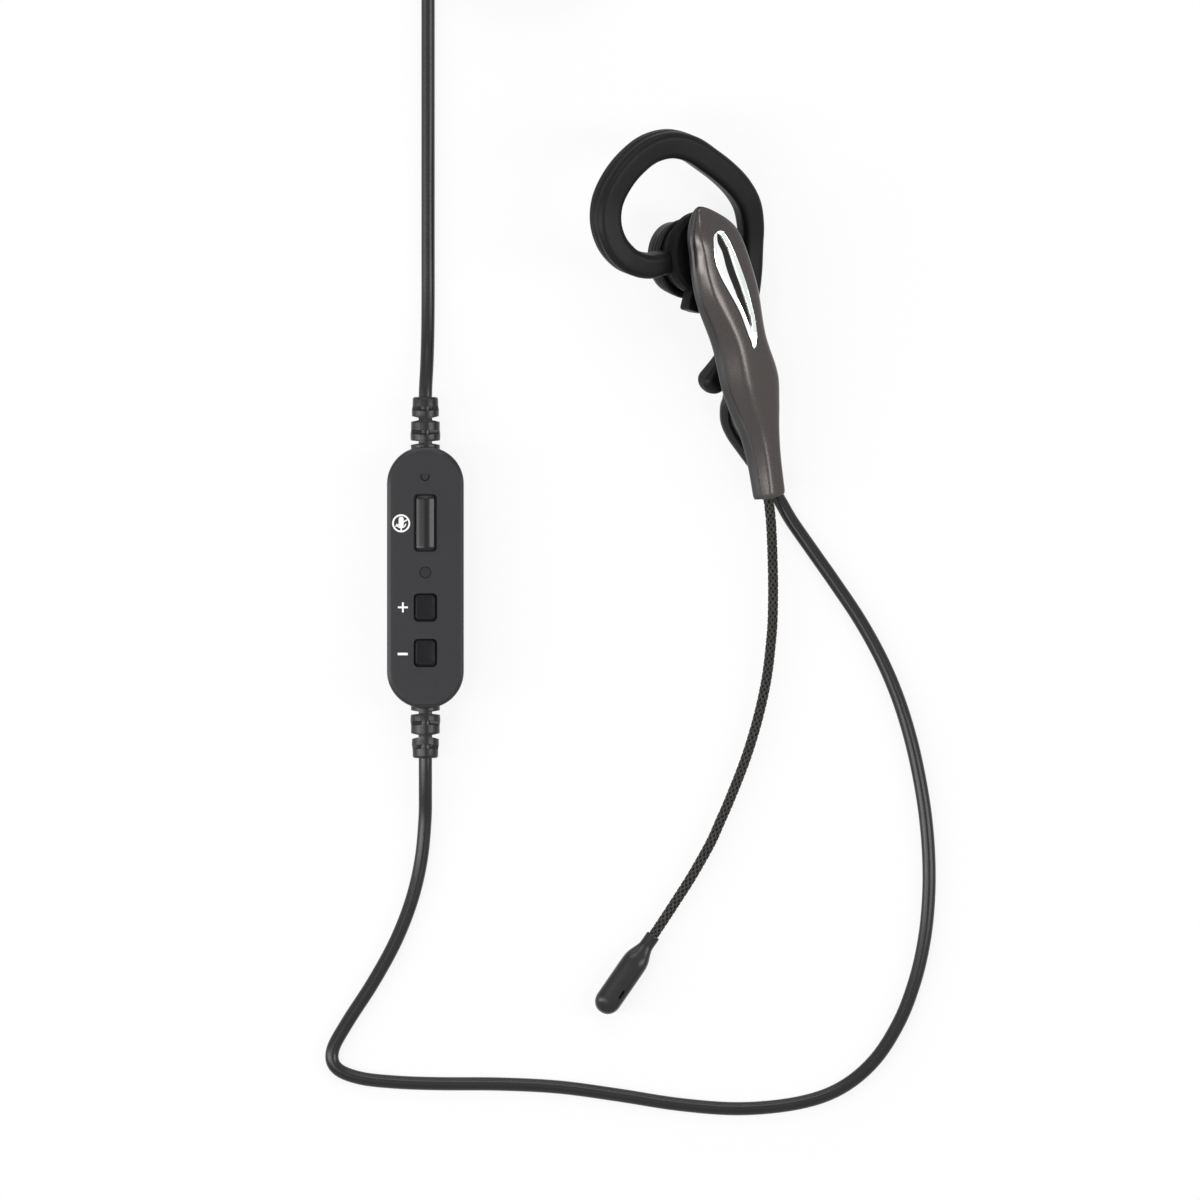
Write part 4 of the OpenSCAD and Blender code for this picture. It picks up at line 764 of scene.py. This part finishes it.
NECK = HOUSE @ Matrix.Translation((0, 65, 0))
RING_TOP, RING_T = -4.5, 5.9
CUP_TOP = RING_TOP - RING_T - 0.6
LIP, BASE = CUP_TOP - 0.4, CUP_TOP - 6
TIP_R = 10.4
tip = [
    (9.0, LIP), (TIP_R - 0.5, LIP), (TIP_R, LIP - 0.4), (TIP_R, LIP - 1.2), (TIP_R - 0.6, LIP - 1.5),
    (TIP_R - 0.7, LIP - 1.8), (TIP_R - 0.4, LIP - 2.1), (TIP_R - 0.5, LIP - 2.9), (TIP_R - 0.9, LIP - 3.2),
    (TIP_R - 1, LIP - 3.5), (TIP_R - 0.9, LIP - 4), (TIP_R - 1.4, BASE + 0.2), (TIP_R - 1.9, BASE - 0.4),
    (TIP_R - 2.7, BASE - 1.09), (TIP_R - 3.9, BASE - 2.01), (TIP_R - 5.3, BASE - 2.9), (4.8, BASE - 3.3),
    (4.2, BASE - 2.9), (4.2, BASE - 0.1), (9.0, BASE - 0.1), (9.0, LIP + 0.001),
]
v, f = placed(revolve(soften(tip, 0.35), 128), NECK @ Matrix.Translation((0, -0.7, 0)))
make("ear_dome", v, f, TIP, "headset", "soft_rubber", ("ear_tip",), 50)


# ---------------------------------------------------------------- ear hook

HOOK_ROUTE = [
    (-5.4, 80.2, 18.8), (-7.2, 79.9, 20.8), (-9.6, 79.4, 22.3), (-12.6, 79.9, 23.6), (-15.9, 81.6, 24.8),
    (-19, 85.3, 26), (-20.6, 90.5, 26.8), (-20.1, 96.3, 27), (-17.4, 101.9, 26.4), (-13.6, 106.5, 25),
    (-9.2, 109.8, 23), (-4, 111.1, 20.6), (1.1, 109.9, 17.8), (5.4, 107.1, 15), (9.7, 103.8, 12),
    (13.4, 100, 9.2), (16, 95.5, 6.8), (17, 90.2, 5), (17, 84.5, 4), (16.9, 78.2, 3.5),
    (16.3, 71.8, 3.3), (14.9, 65.4, 3.4), (13, 60.4, 3.8), (11.4, 56.8, 4.2), (9.5, 53.2, 4.8),
    (7, 49.4, 5.5),
]
HOOK_UP = Vector((0.5, -0.2, 0.84))
HOOK_SIDES = [(0, 6.0), (0.12, 6.9), (0.55, 6.9), (0.75, 5.7), (0.92, 5.2), (1, 6.45)]


def hook_outline(side, groove, n=56):
    """Square with round corners; the outer side carries a raised rib between two fine grooves."""
    h, r = side / 2, 1.75
    pts = []
    # up the outer side, with the parting groove pair, then round the other three sides
    for t in [k / 22 for k in range(23)]:
        y = lerp(h - r, -(h - r), t)
        g = sum(math.exp(-((y - c) / 0.17) ** 2) for c in (0.75, -0.05)) * groove
        pts.append((-h + g, y))
    c = h - r
    for k, (cx, cy) in enumerate(((-c, -c), (c, -c), (c, c), (-c, c))):
        for j in range(1, 9):
            a = math.radians(180 + 90 * k + 90 * j / 8 - (0 if j < 8 else 0.01))
            pts.append((cx + r * math.cos(a), cy + r * math.sin(a)))
        # points along the flat that follows keep it flat in shade
        fx, fy = ((1, 0), (0, 1), (-1, 0), (0, -1))[k]
        if k < 3:
            pts += [(pts[-1][0] + fx * 2 * c * s, pts[-1][1] + fy * 2 * c * s) for s in (0.04, 0.5, 0.96)]
    return pts


hook_line, run = resample(curve(HOOK_ROUTE, 8), 0.45)
total = run[-1]
rings = []
for i, p in enumerate(hook_line):
    s = run[i] / total
    side = read_table(HOOK_SIDES, s)[1]
    groove = 0.2 * max(0, min(1, (s - 0.06) / 0.06)) * max(0, min(1, (0.62 - s) / 0.08))
    rings.append(ring_at(hook_outline(side, groove), p, heading(hook_line, i), HOOK_UP))
end = heading(hook_line, len(hook_line) - 1)
for k in range(1, 12):
    a = math.radians(90 * k / 12)
    o = [(x * math.cos(a), y * math.cos(a)) for x, y in hook_outline(6.45, 0)]
    rings.append(ring_at(o, hook_line[-1] + end * 3.22 * math.sin(a), end, HOOK_UP))
bar = skin(rings)
low, mid = RING_TOP - RING_T, RING_TOP - 3.2
bands = placed(revolve(soften([
    (4.55, low), (8.9, low), (9.5, low + 0.2), (9.7, low + 0.75), (9.42, low + 1.0), (9.5, low + 1.1), (9.85, low + 1.35),
    (9.9, low + 2.1), (9.6, low + 2.35), (9.7, low + 2.45), (9.7, mid), (4.55, mid)], 0.12), 128, True), NECK)
disc = placed(revolve(soften([(5.4, mid), (10.6, mid), (10.8, mid + 0.2), (10.8, RING_TOP - 0.8), (9.9, RING_TOP),
                              (5.4, RING_TOP)], 0.15), 128, True), NECK @ Matrix.Translation((0, 0.7, 0)))
tab_shape = [(-2.1, -5), (-3.5, -14.2), (-3.1, -14.7), (0, -14.9), (3.1, -14.7), (3.5, -14.2), (2.1, -5)]
tab_mesh = cut_mesh("tab", prism(tab_shape, RING_TOP - 3.6, RING_TOP - 0.4), [], 0.35, 3, 30)
v, f = merge(bar, bands)
make("hook_bar", v, f, HOOK, "hook", "hook_rubber", ("ear_hook",), 40)
# The ring takes the darker rubber copy: painted shade for its recess under the cover
make("hook_ring", *disc, RING_SHADE, "hook", "hook_rubber", (), 40)
tab_mesh.transform(Matrix.Scale(1 / MM, 4))
tab_mesh.transform(NECK @ Matrix.Rotation(math.radians(-25), 4, "Z"))
tab_mesh.transform(Matrix.Scale(MM, 4))
finish_mesh("hook_tab", tab_mesh, HOOK, "hook", (), 40)


# ---------------------------------------------------------------- braided boom

BOOM = [
    (20, 27, 9.9), (20.9, 22.6, 9), (21.7, 18.6, 8.2), (22.3, 13.4, 7.2), (22.6, 8, 6.3), (22.8, 2, 5.5),
    (22.9, -4, 4.9), (22.8, -12, 4.4), (22.4, -18, 4.1), (21.2, -28, 3.7), (18.9, -38.5, 3.5),
    (15.7, -49, 3.4), (11.6, -59.5, 3.3), (9.2, -65, 3.3), (7, -70, 3.3), (4.3, -75, 3.3), (1.2, -80.3, 3.3),
    (-2.2, -85.6, 3.3), (-5.6, -90.8, 3.4), (-8.2, -94.7, 3.45), (-10.4, -97.9, 3.45),
]
boom_line, boom_run = resample(curve(BOOM, 10), 0.25)


def run_near(p):
    return min(zip(boom_run, boom_line), key=lambda q: (q[1] - Vector(p)).length)[0]


def boom_at(s):
    i = min(max(int(s / boom_run[-1] * (len(boom_run) - 1)), 0), len(boom_run) - 2)
    t = (s - boom_run[i]) / (boom_run[i + 1] - boom_run[i])
    d = (boom_line[min(i + 3, len(boom_line) - 1)] - boom_line[max(i - 2, 0)]).normalized()
    side = d.cross(Vector((0, 0, 1))).normalized()
    return boom_line[i].lerp(boom_line[i + 1], t), side, side.cross(d)


BRAID_N, BRAID_PITCH, R_IN, R_OUT = 6, 11.0, 1.13, 1.25


def boom_piece(name, s0, s1, body=None, blend=None, node=None):
    """A stretch of the boom: a dark core and the braid's crossing strands, each with a flat oval section."""
    n = int((s1 - s0) / 0.8) + 2
    core = []
    for k in range(n + 1):
        c, a, b = boom_at(lerp(s0, s1, k / n))
        core.append([c + (a * math.cos(t) + b * math.sin(t)) * R_IN for t in [2 * math.pi * j / 16 for j in range(16)]])
    cv, cf = skin(core)
    parts = []
    steps = int((s1 - s0) / 0.24) + 2
    for hand in (1, -1):
        for k in range(BRAID_N):
            for twin in (-1, 1):
                rings = []
                for i in range(steps + 1):
                    s = lerp(s0, s1, i / steps)
                    c, a, b = boom_at(s)
                    t = 2 * math.pi * (hand * s / BRAID_PITCH + k / BRAID_N) + twin * 0.105
                    # strands of the other hand are met 2 * N times a turn; over one pair, under the next
                    wave = math.sin(2 * math.pi * (BRAID_N * s / BRAID_PITCH) + math.pi * k) * hand
                    r = R_OUT - 0.03 + 0.075 * wave
                    out = a * math.cos(t) + b * math.sin(t)
                    around = b * math.cos(t) - a * math.sin(t)
                    ring = []
                    for x, y in ((0.115, 0), (0.07, 0.06), (-0.07, 0.06), (-0.115, 0), (0, -0.06)):
                        ring.append(c + out * (r + y) + around * (x * 1.0))
                    rings.append(ring)
                parts.append(skin(rings, True))
    sv, sf = merge(*parts)
    made = []
    for suffix, (v, f), mat in (("core", (cv, cf), CORE), ("braid", (sv, sf), STRAND)):
        ob = make(f"{name}_{suffix}", v, f, mat, None if blend else body, "braid", (), 60)
        if blend:
            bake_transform(ob)
        made.append(ob)
    if node:
        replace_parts(made[1], node)
    return made


h1, h2 = run_near((22.8, -12, 4.4)), run_near((9.2, -65, 3.3))
SPAN = 7.0


def mm_point(s):
    p = boom_at(s)[0]
    return tuple(x * MM for x in p)


boom_piece("boom_top", 0.2, h1 - SPAN, "headset", None, "boom_upper")
boom_piece("boom_bend_one", h1 - SPAN, h1 + SPAN, None, ("headset", "boom_mid", mm_point(h1 - SPAN), mm_point(h1 + SPAN)))
boom_piece("boom_mid_stretch", h1 + SPAN, h2 - SPAN, "boom_mid", None, "boom_middle")
boom_piece("boom_bend_two", h2 - SPAN, h2 + SPAN, None, ("boom_mid", "boom_end", mm_point(h2 - SPAN), mm_point(h2 + SPAN)))
boom_piece("boom_end_stretch", h2 + SPAN, boom_run[-1] - 0.5, "boom_end", None, "boom_lower")


# ---------------------------------------------------------------- microphone sleeve

MIC = (Matrix.Translation((-8.2, -94.7, 3.45)) @ Matrix.Rotation(math.radians(-34.6), 4, "Z")
       @ Matrix.Rotation(math.radians(90), 4, "X"))


def sup(w, h, n, count=64):
    out = []
    for k in range(count):
        a = 2 * math.pi * k / count
        c, s = math.cos(a), math.sin(a)
        out.append((w * math.copysign(abs(c) ** (2 / n), c), h * math.copysign(abs(s) ** (2 / n), s)))
    return out


MIC_LINE = [
    (0, 1.72, 1.66, 2.3), (0.12, 1.8, 1.74, 2.3), (0.4, 1.84, 1.78, 2.3), (3.2, 1.86, 1.8, 2.3), (3.9, 1.98, 1.92, 2.3),
    (5.2, 2.45, 2.3, 2.4), (6.8, 3.06, 2.9, 2.6), (8.2, 3.33, 3.25, 2.8), (10, 3.4, 3.35, 2.9), (20.6, 3.4, 3.38, 2.9),
]
rings = []
for i in range(80):
    z = 20.6 * i / 79
    _, w, h, n = read_table(MIC_LINE, z) if z > 0.4 else read_table(MIC_LINE, z)
    rings.append([(x, y, z) for x, y in sup(w, h, n)])
for k in range(1, 22):
    a = math.radians(90 * k / 22)
    rings.append([(x, y, 20.6 + 3.6 * math.sin(a)) for x, y in sup(3.4 * math.cos(a) ** 0.92, 3.38 * math.cos(a) ** 0.92, lerp(2.9, 2.2, k / 21))])
body = skin(rings)
port = placed(prism(rounded(0.62, 2.5, 0.3), 2.2, 6),
              Matrix.Rotation(math.radians(-33), 4, "Z") @ Matrix.Translation((0, 0, 17.4)) @ Matrix.Rotation(math.radians(-90), 4, "X"))
bore = cylinder(1.42, -1, 5.2)
mic = cut_mesh("mic", body, [port, bore], 0)
mic.transform(Matrix.Scale(1 / MM, 4))
mic.transform(MIC)
mic.transform(Matrix.Scale(MM, 4))
finish_mesh("mic_boot", mic, RUBBER, "boom_end", ("mic_sleeve",), 40)


# ---------------------------------------------------------------- control box

BOX_M = Matrix.Translation((BOX_AT[0], BOX_AT[1], 0))
BW, BL, BH = 20, 68, 11
SEAM = BH / 2
EDGE = 1.6


def box_outline(inset, steps=22):
    r = BW / 2 - 0.4 - inset
    return rounded(BW - 2 * inset, BL - 2 * inset, r, steps)


def box_half(sign):
    """One half of the box: a drafted wall, a round shoulder and a slanted border that ends in a fine edge."""
    prof = [(0.0, 0.03), (0.0, 0.3), (0.05, SEAM - 1.5)]
    for k in range(7):
        a = math.radians(62 * k / 6)
        prof.append((0.05 + 0.62 * (1 - math.cos(a)), SEAM - 1.1 + 0.62 * math.sin(a)))
    prof += [(0.74, SEAM - 0.27), (0.86, SEAM - 0.2), (0.93, SEAM - 0.12), (0.98, SEAM - 0.03), (1.05, SEAM), (2.3, SEAM)]
    rings = [[(x, y, SEAM + sign * h) for x, y in box_outline(i)] for i, h in prof]
    inner = [[(x, y, SEAM + sign * h) for x, y in box_outline(1.4)] for h in (0.03, SEAM - 1.4)]
    m = len(rings[0])
    verts = [p for r in rings for p in r] + [p for r in inner for p in r]
    faces = [(i * m + j, i * m + (j + 1) % m, (i + 1) * m + (j + 1) % m, (i + 1) * m + j)
             for i in range(len(rings) - 1) for j in range(m)]
    k0 = len(rings) * m
    faces.append(tuple((len(rings) - 1) * m + j for j in range(m)))
    faces += [(j, (j + 1) % m, k0 + (j + 1) % m, k0 + j) for j in range(m)]
    faces += [(k0 + j, k0 + (j + 1) % m, k0 + m + (j + 1) % m, k0 + m + j) for j in range(m)]
    faces.append(tuple(k0 + m + j for j in range(m)))
    return verts, faces


def shifted(outline, y):
    return [(a, b + y) for a, b in outline]


KEYS = {"mute_key": (14.2, 14.4), "volume_up_key": (-7.8, 6.7), "volume_down_key": (-19.6, 6.7)}
KEY_W, GAP = 5.4, 0.35
openings = [prism(shifted(rounded(KEY_W + 2 * GAP, l + 2 * GAP, 1.15, 8), y), 4, 14) for y, l in KEYS.values()]
relief_way = placed(cylinder(3.1, -40, 40), Matrix.Translation((0, 0, 5.5)) @ Matrix.Rotation(math.radians(90), 4, "X"))
top = cut_mesh("box_top", box_half(1), openings + [cylinder(1.52, 4, 14, (0, 1.3)), relief_way], 0.14, 3, 50)
bottom = cut_mesh("box_bottom", box_half(-1), [relief_way, cylinder(1.8, -2, 1.6, (0, 27)), cylinder(1.8, -2, 1.6, (0, -27))], 0.1, 2, 50)
for name, me, node in (("box_top_shell", top, "control_top_shell"), ("box_bottom_shell", bottom, "control_bottom_shell")):
    me.transform(Matrix.Translation((BOX_AT[0] * MM, BOX_AT[1] * MM, 0)))
    finish_mesh(name, me, BOX, "headset", (node,), 30).modifiers.new("even", "WEIGHTED_NORMAL").keep_sharp = True


def key_cap(name, y, l, body):
    """A key cap: a round shoulder and a top that dips inside a fine raised border."""
    top = BH + 0.62
    prof = [(0.1, 9.05), (0.1, top - 0.5)]
    for k in range(1, 7):
        a = math.radians(90 * k / 6)
        prof.append((0.1 + 0.4 * (1 - math.cos(a)), top - 0.5 + 0.5 * math.sin(a)))
    prof += [(0.62, top - 0.02), (0.75, top - 0.12), (1.3, top - 0.17), (2.0, top - 0.2)]
    rings = [[(x, b, z) for x, b in shifted(rounded(KEY_W - 2 * i, l - 2 * i, max(0.15, 0.95 - i * 0.5), 8), y)]
             for i, z in prof]
    flange = prism(shifted(rounded(KEY_W + 2.1, l + 2.1, 0.6, 4), y), 9.05, 9.45)
    v, f = placed(merge(skin(rings), flange), BOX_M)
    return make(name, v, f, KEY, body, "key_plastic", (), 25)


def mute_bar(name, y, l, body):
    """The mute key: a bar with an arched top and rounded ends."""
    rings, half, arch = [], l / 2, 4.3
    for k in range(41):
        e = k / 40
        t = -half + 0.08 + (l - 0.16) * (1 - math.cos(math.pi * e)) / 2
        d = min(half - abs(t), 1.0)
        drop = 1 - math.sqrt(max(0, 1 - (1 - d) ** 2))
        side = 2.62 - 0.35 * drop
        row = [(-side, 9.05)]
        for j in range(25):
            x = side * math.sin(math.pi / 2 * (j / 12 - 1))
            edge = max(0, abs(x) / side - 0.86) / 0.14
            z = 11.72 - (arch - math.sqrt(arch ** 2 - x * x)) - 0.3 * edge ** 2 - 0.75 * drop
            row.append((x, z))
        row.append((side, 9.05))
        rings.append([(x, y + t, z) for x, z in row])
    flange = prism(shifted(rounded(KEY_W + 2.1, l + 2.1, 0.6, 4), y), 9.05, 9.45)
    v, f = placed(merge(skin(rings), flange), BOX_M)
    return make(name, v, f, GLOSS_KEY, body, "key_plastic", (), 40)


for node, (y, l) in KEYS.items():
    body = {"mute_key": "mute", "volume_up_key": "volume_up", "volume_down_key": "volume_down"}[node]
    build = mute_bar if node == "mute_key" else key_cap
    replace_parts(build(node + "_cap", y, l, body), node)

# Printed signs beside the keys: a crossed microphone, plus and minus
def flat(outline, k=0):
    """A printed area, each one a little over the last so that no two faces coincide."""
    return prism(outline, BH - 0.05, BH + 0.03 + 0.006 * k)


def stroke(a, b, w):
    a, b = Vector(a), Vector(b)
    d = (b - a).normalized() * w / 2
    n = Vector((-d.y, d.x))
    return [tuple(p) for p in (a + n, a - n, b - n, b + n)]


def hoop(cx, cy, r, w, a0=0, a1=360, n=48):
    pts = [(cx + (r + w / 2) * math.cos(math.radians(lerp(a0, a1, k / n))),
            cy + (r + w / 2) * math.sin(math.radians(lerp(a0, a1, k / n)))) for k in range(n + 1)]
    pts += [(cx + (r - w / 2) * math.cos(math.radians(lerp(a0, a1, k / n))),
             cy + (r - w / 2) * math.sin(math.radians(lerp(a0, a1, k / n)))) for k in range(n, -1, -1)]
    return pts


mx, my = -6.3, 14.1
signs = [
    hoop(mx, my, 2.12, 0.44, 0, 359.9),
    [(mx + x, my + 0.35 + y) for x, y in rounded(1.3, 2.75, 0.64)],
    hoop(mx, my + 0.05, 1.2, 0.3, 188, 352),
    [(mx - 0.19, my - 2.0), (mx + 0.19, my - 2.0), (mx + 0.19, my - 1.0), (mx - 0.19, my - 1.0)],
    stroke((mx - 1.5, my - 0.85), (mx + 1.62, my + 0.95), 0.32),
    [(mx - 0.85, -7.98), (mx + 1.75, -7.98), (mx + 1.75, -7.52), (mx - 0.85, -7.52)],
    [(mx + 0.22, -9.06), (mx + 0.68, -9.06), (mx + 0.68, -6.46), (mx + 0.22, -6.46)],
    [(mx - 0.9, -20.2), (mx + 1.72, -20.2), (mx + 1.72, -19.56), (mx - 0.9, -19.56)],
]
v, f = placed(merge(*[flat(s, k) for k, s in enumerate(signs)]), BOX_M)
make("printed_signs", v, f, PRINT, "headset", "white_plastic", (), 0, False)
arc = prism([(x - 0.08, y + 26.3) for x, y in hoop(0, 0, 1.05, 0.32, 150, 390)], BH - 0.1, BH + 0.05)
ribs = [prism([(x - 0.08, y + 26.3) for x, y in stroke((d - 0.14, 0.8), (d + 0.2, -0.6), 0.22)], BH - 0.1, BH + 0.16)
        for d in (-0.38, 0.3)]
# The moulded arc takes the darker rubber copy: painted shade in the mark
v, f = placed(arc, BOX_M)
make("moulded_arc", v, f, RING_SHADE, "headset", "box_plastic", (), 0, False)
v, f = placed(merge(*ribs), BOX_M)
make("moulded_ribs", v, f, BOX, "headset", "box_plastic", (), 0, False)


# ---------------------------------------------------------------- strain reliefs

def relief(name, sign, sink, node):
    """Rings round a core, with tapered notches in from both sides and a deep bowed slot across the front and back."""
    foot = BL / 2
    prof = [
        (1.3, foot - 2.5), (3.8, foot - 2.5), (3.8, foot - 2.0), (3.0, foot - 1.6), (3.2, foot - 1.3), (3.75, foot - 1.0),
        (3.8, foot + 0.5), (3.7, foot + 1.2), (3.85, foot + 2.0), (3.9, foot + 3.3), (3.75, foot + 4.4), (3.75, foot + 6.4),
        (3.55, foot + 7.3), (3.5, foot + 8.2), (3.55, foot + 9.5), (3.35, foot + 10.6), (3.3, foot + 12.6),
        (2.9, foot + 12.95), (1.3, foot + 13.0),
    ]
    part = revolve(soften(prof, 0.25, 3), 72, True)

    def slot(y0, y1, z0, z1, sag):
        low = [(-3.5, y0, z0), (0, y0, z0 - sag), (3.5, y0, z0), (3.5, y1, z0), (0, y1, z0 - sag), (-3.5, y1, z0)]
        high = [(x, y, z + z1 - z0) for x, y, z in low]
        return low + high, [(5, 4, 1, 0), (4, 3, 2, 1), (6, 7, 10, 11), (7, 8, 9, 10), (0, 1, 7, 6), (1, 2, 8, 7),
                            (2, 3, 9, 8), (3, 4, 10, 9), (4, 5, 11, 10), (5, 0, 6, 11)]

    def notch(side, low_in, low_out, high_in, high_out):
        pts = [(1.77, low_in), (6, low_out), (6, high_out), (1.77, high_in)]
        pts = [(side * x, z) for x, z in (pts if side > 0 else pts[::-1])]
        return [(x, -6, z) for x, z in pts] + [(x, 6, z) for x, z in pts], [
            (0, 1, 2, 3), (7, 6, 5, 4)] + [(k, k + 4, (k + 1) % 4 + 4, (k + 1) % 4) for k in range(4)]

    cuts = [notch(s, foot + a, foot + b, foot + c, foot + d) for s in (1, -1)
            for a, b, c, d in ((0.88, 0.1, 1.42, 1.9), (6.95, 5.95, 7.5, 8.6))]
    for z0, z1, sag in ((foot + 3.4, foot + 4.5, 0.3), (foot + 9.55, foot + 10.65, 0.22)):
        cuts += [slot(1.0, 6, z0, z1, sag), slot(-6, -1.0, z0, z1, sag)]
    me = cut_mesh(name, part, cuts, 0.08, 2, 50)
    me.transform(Matrix.Translation((BOX_AT[0] * MM, BOX_AT[1] * MM, 5.5 * MM)) @ Matrix.Rotation(0 if sign > 0 else math.pi, 4, "Z")
                 @ Matrix.Translation((0, -sink * MM, 0)) @ Matrix.Rotation(math.radians(-90), 4, "X"))
    v, f = placed(revolve([(0.01, foot - 2), (1.5, foot - 2), (1.5, foot + 12.5), (0.01, foot + 12.5)], 48),
                  Matrix.Translation((BOX_AT[0], BOX_AT[1], 5.5)) @ Matrix.Rotation(0 if sign > 0 else math.pi, 4, "Z")
                  @ Matrix.Translation((0, -sink, 0)) @ Matrix.Rotation(math.radians(-90), 4, "X"))
    make(name + "_core", v, f, JACKET, "headset", "soft_rubber", (), 35)
    return finish_mesh(name, me, RELIEF, "headset", (node,), 35)


upper = relief("ribbed_relief_top", 1, 0, "upper_strain_relief")
lower = relief("ribbed_relief_low", -1, 0, "lower_strain_relief")
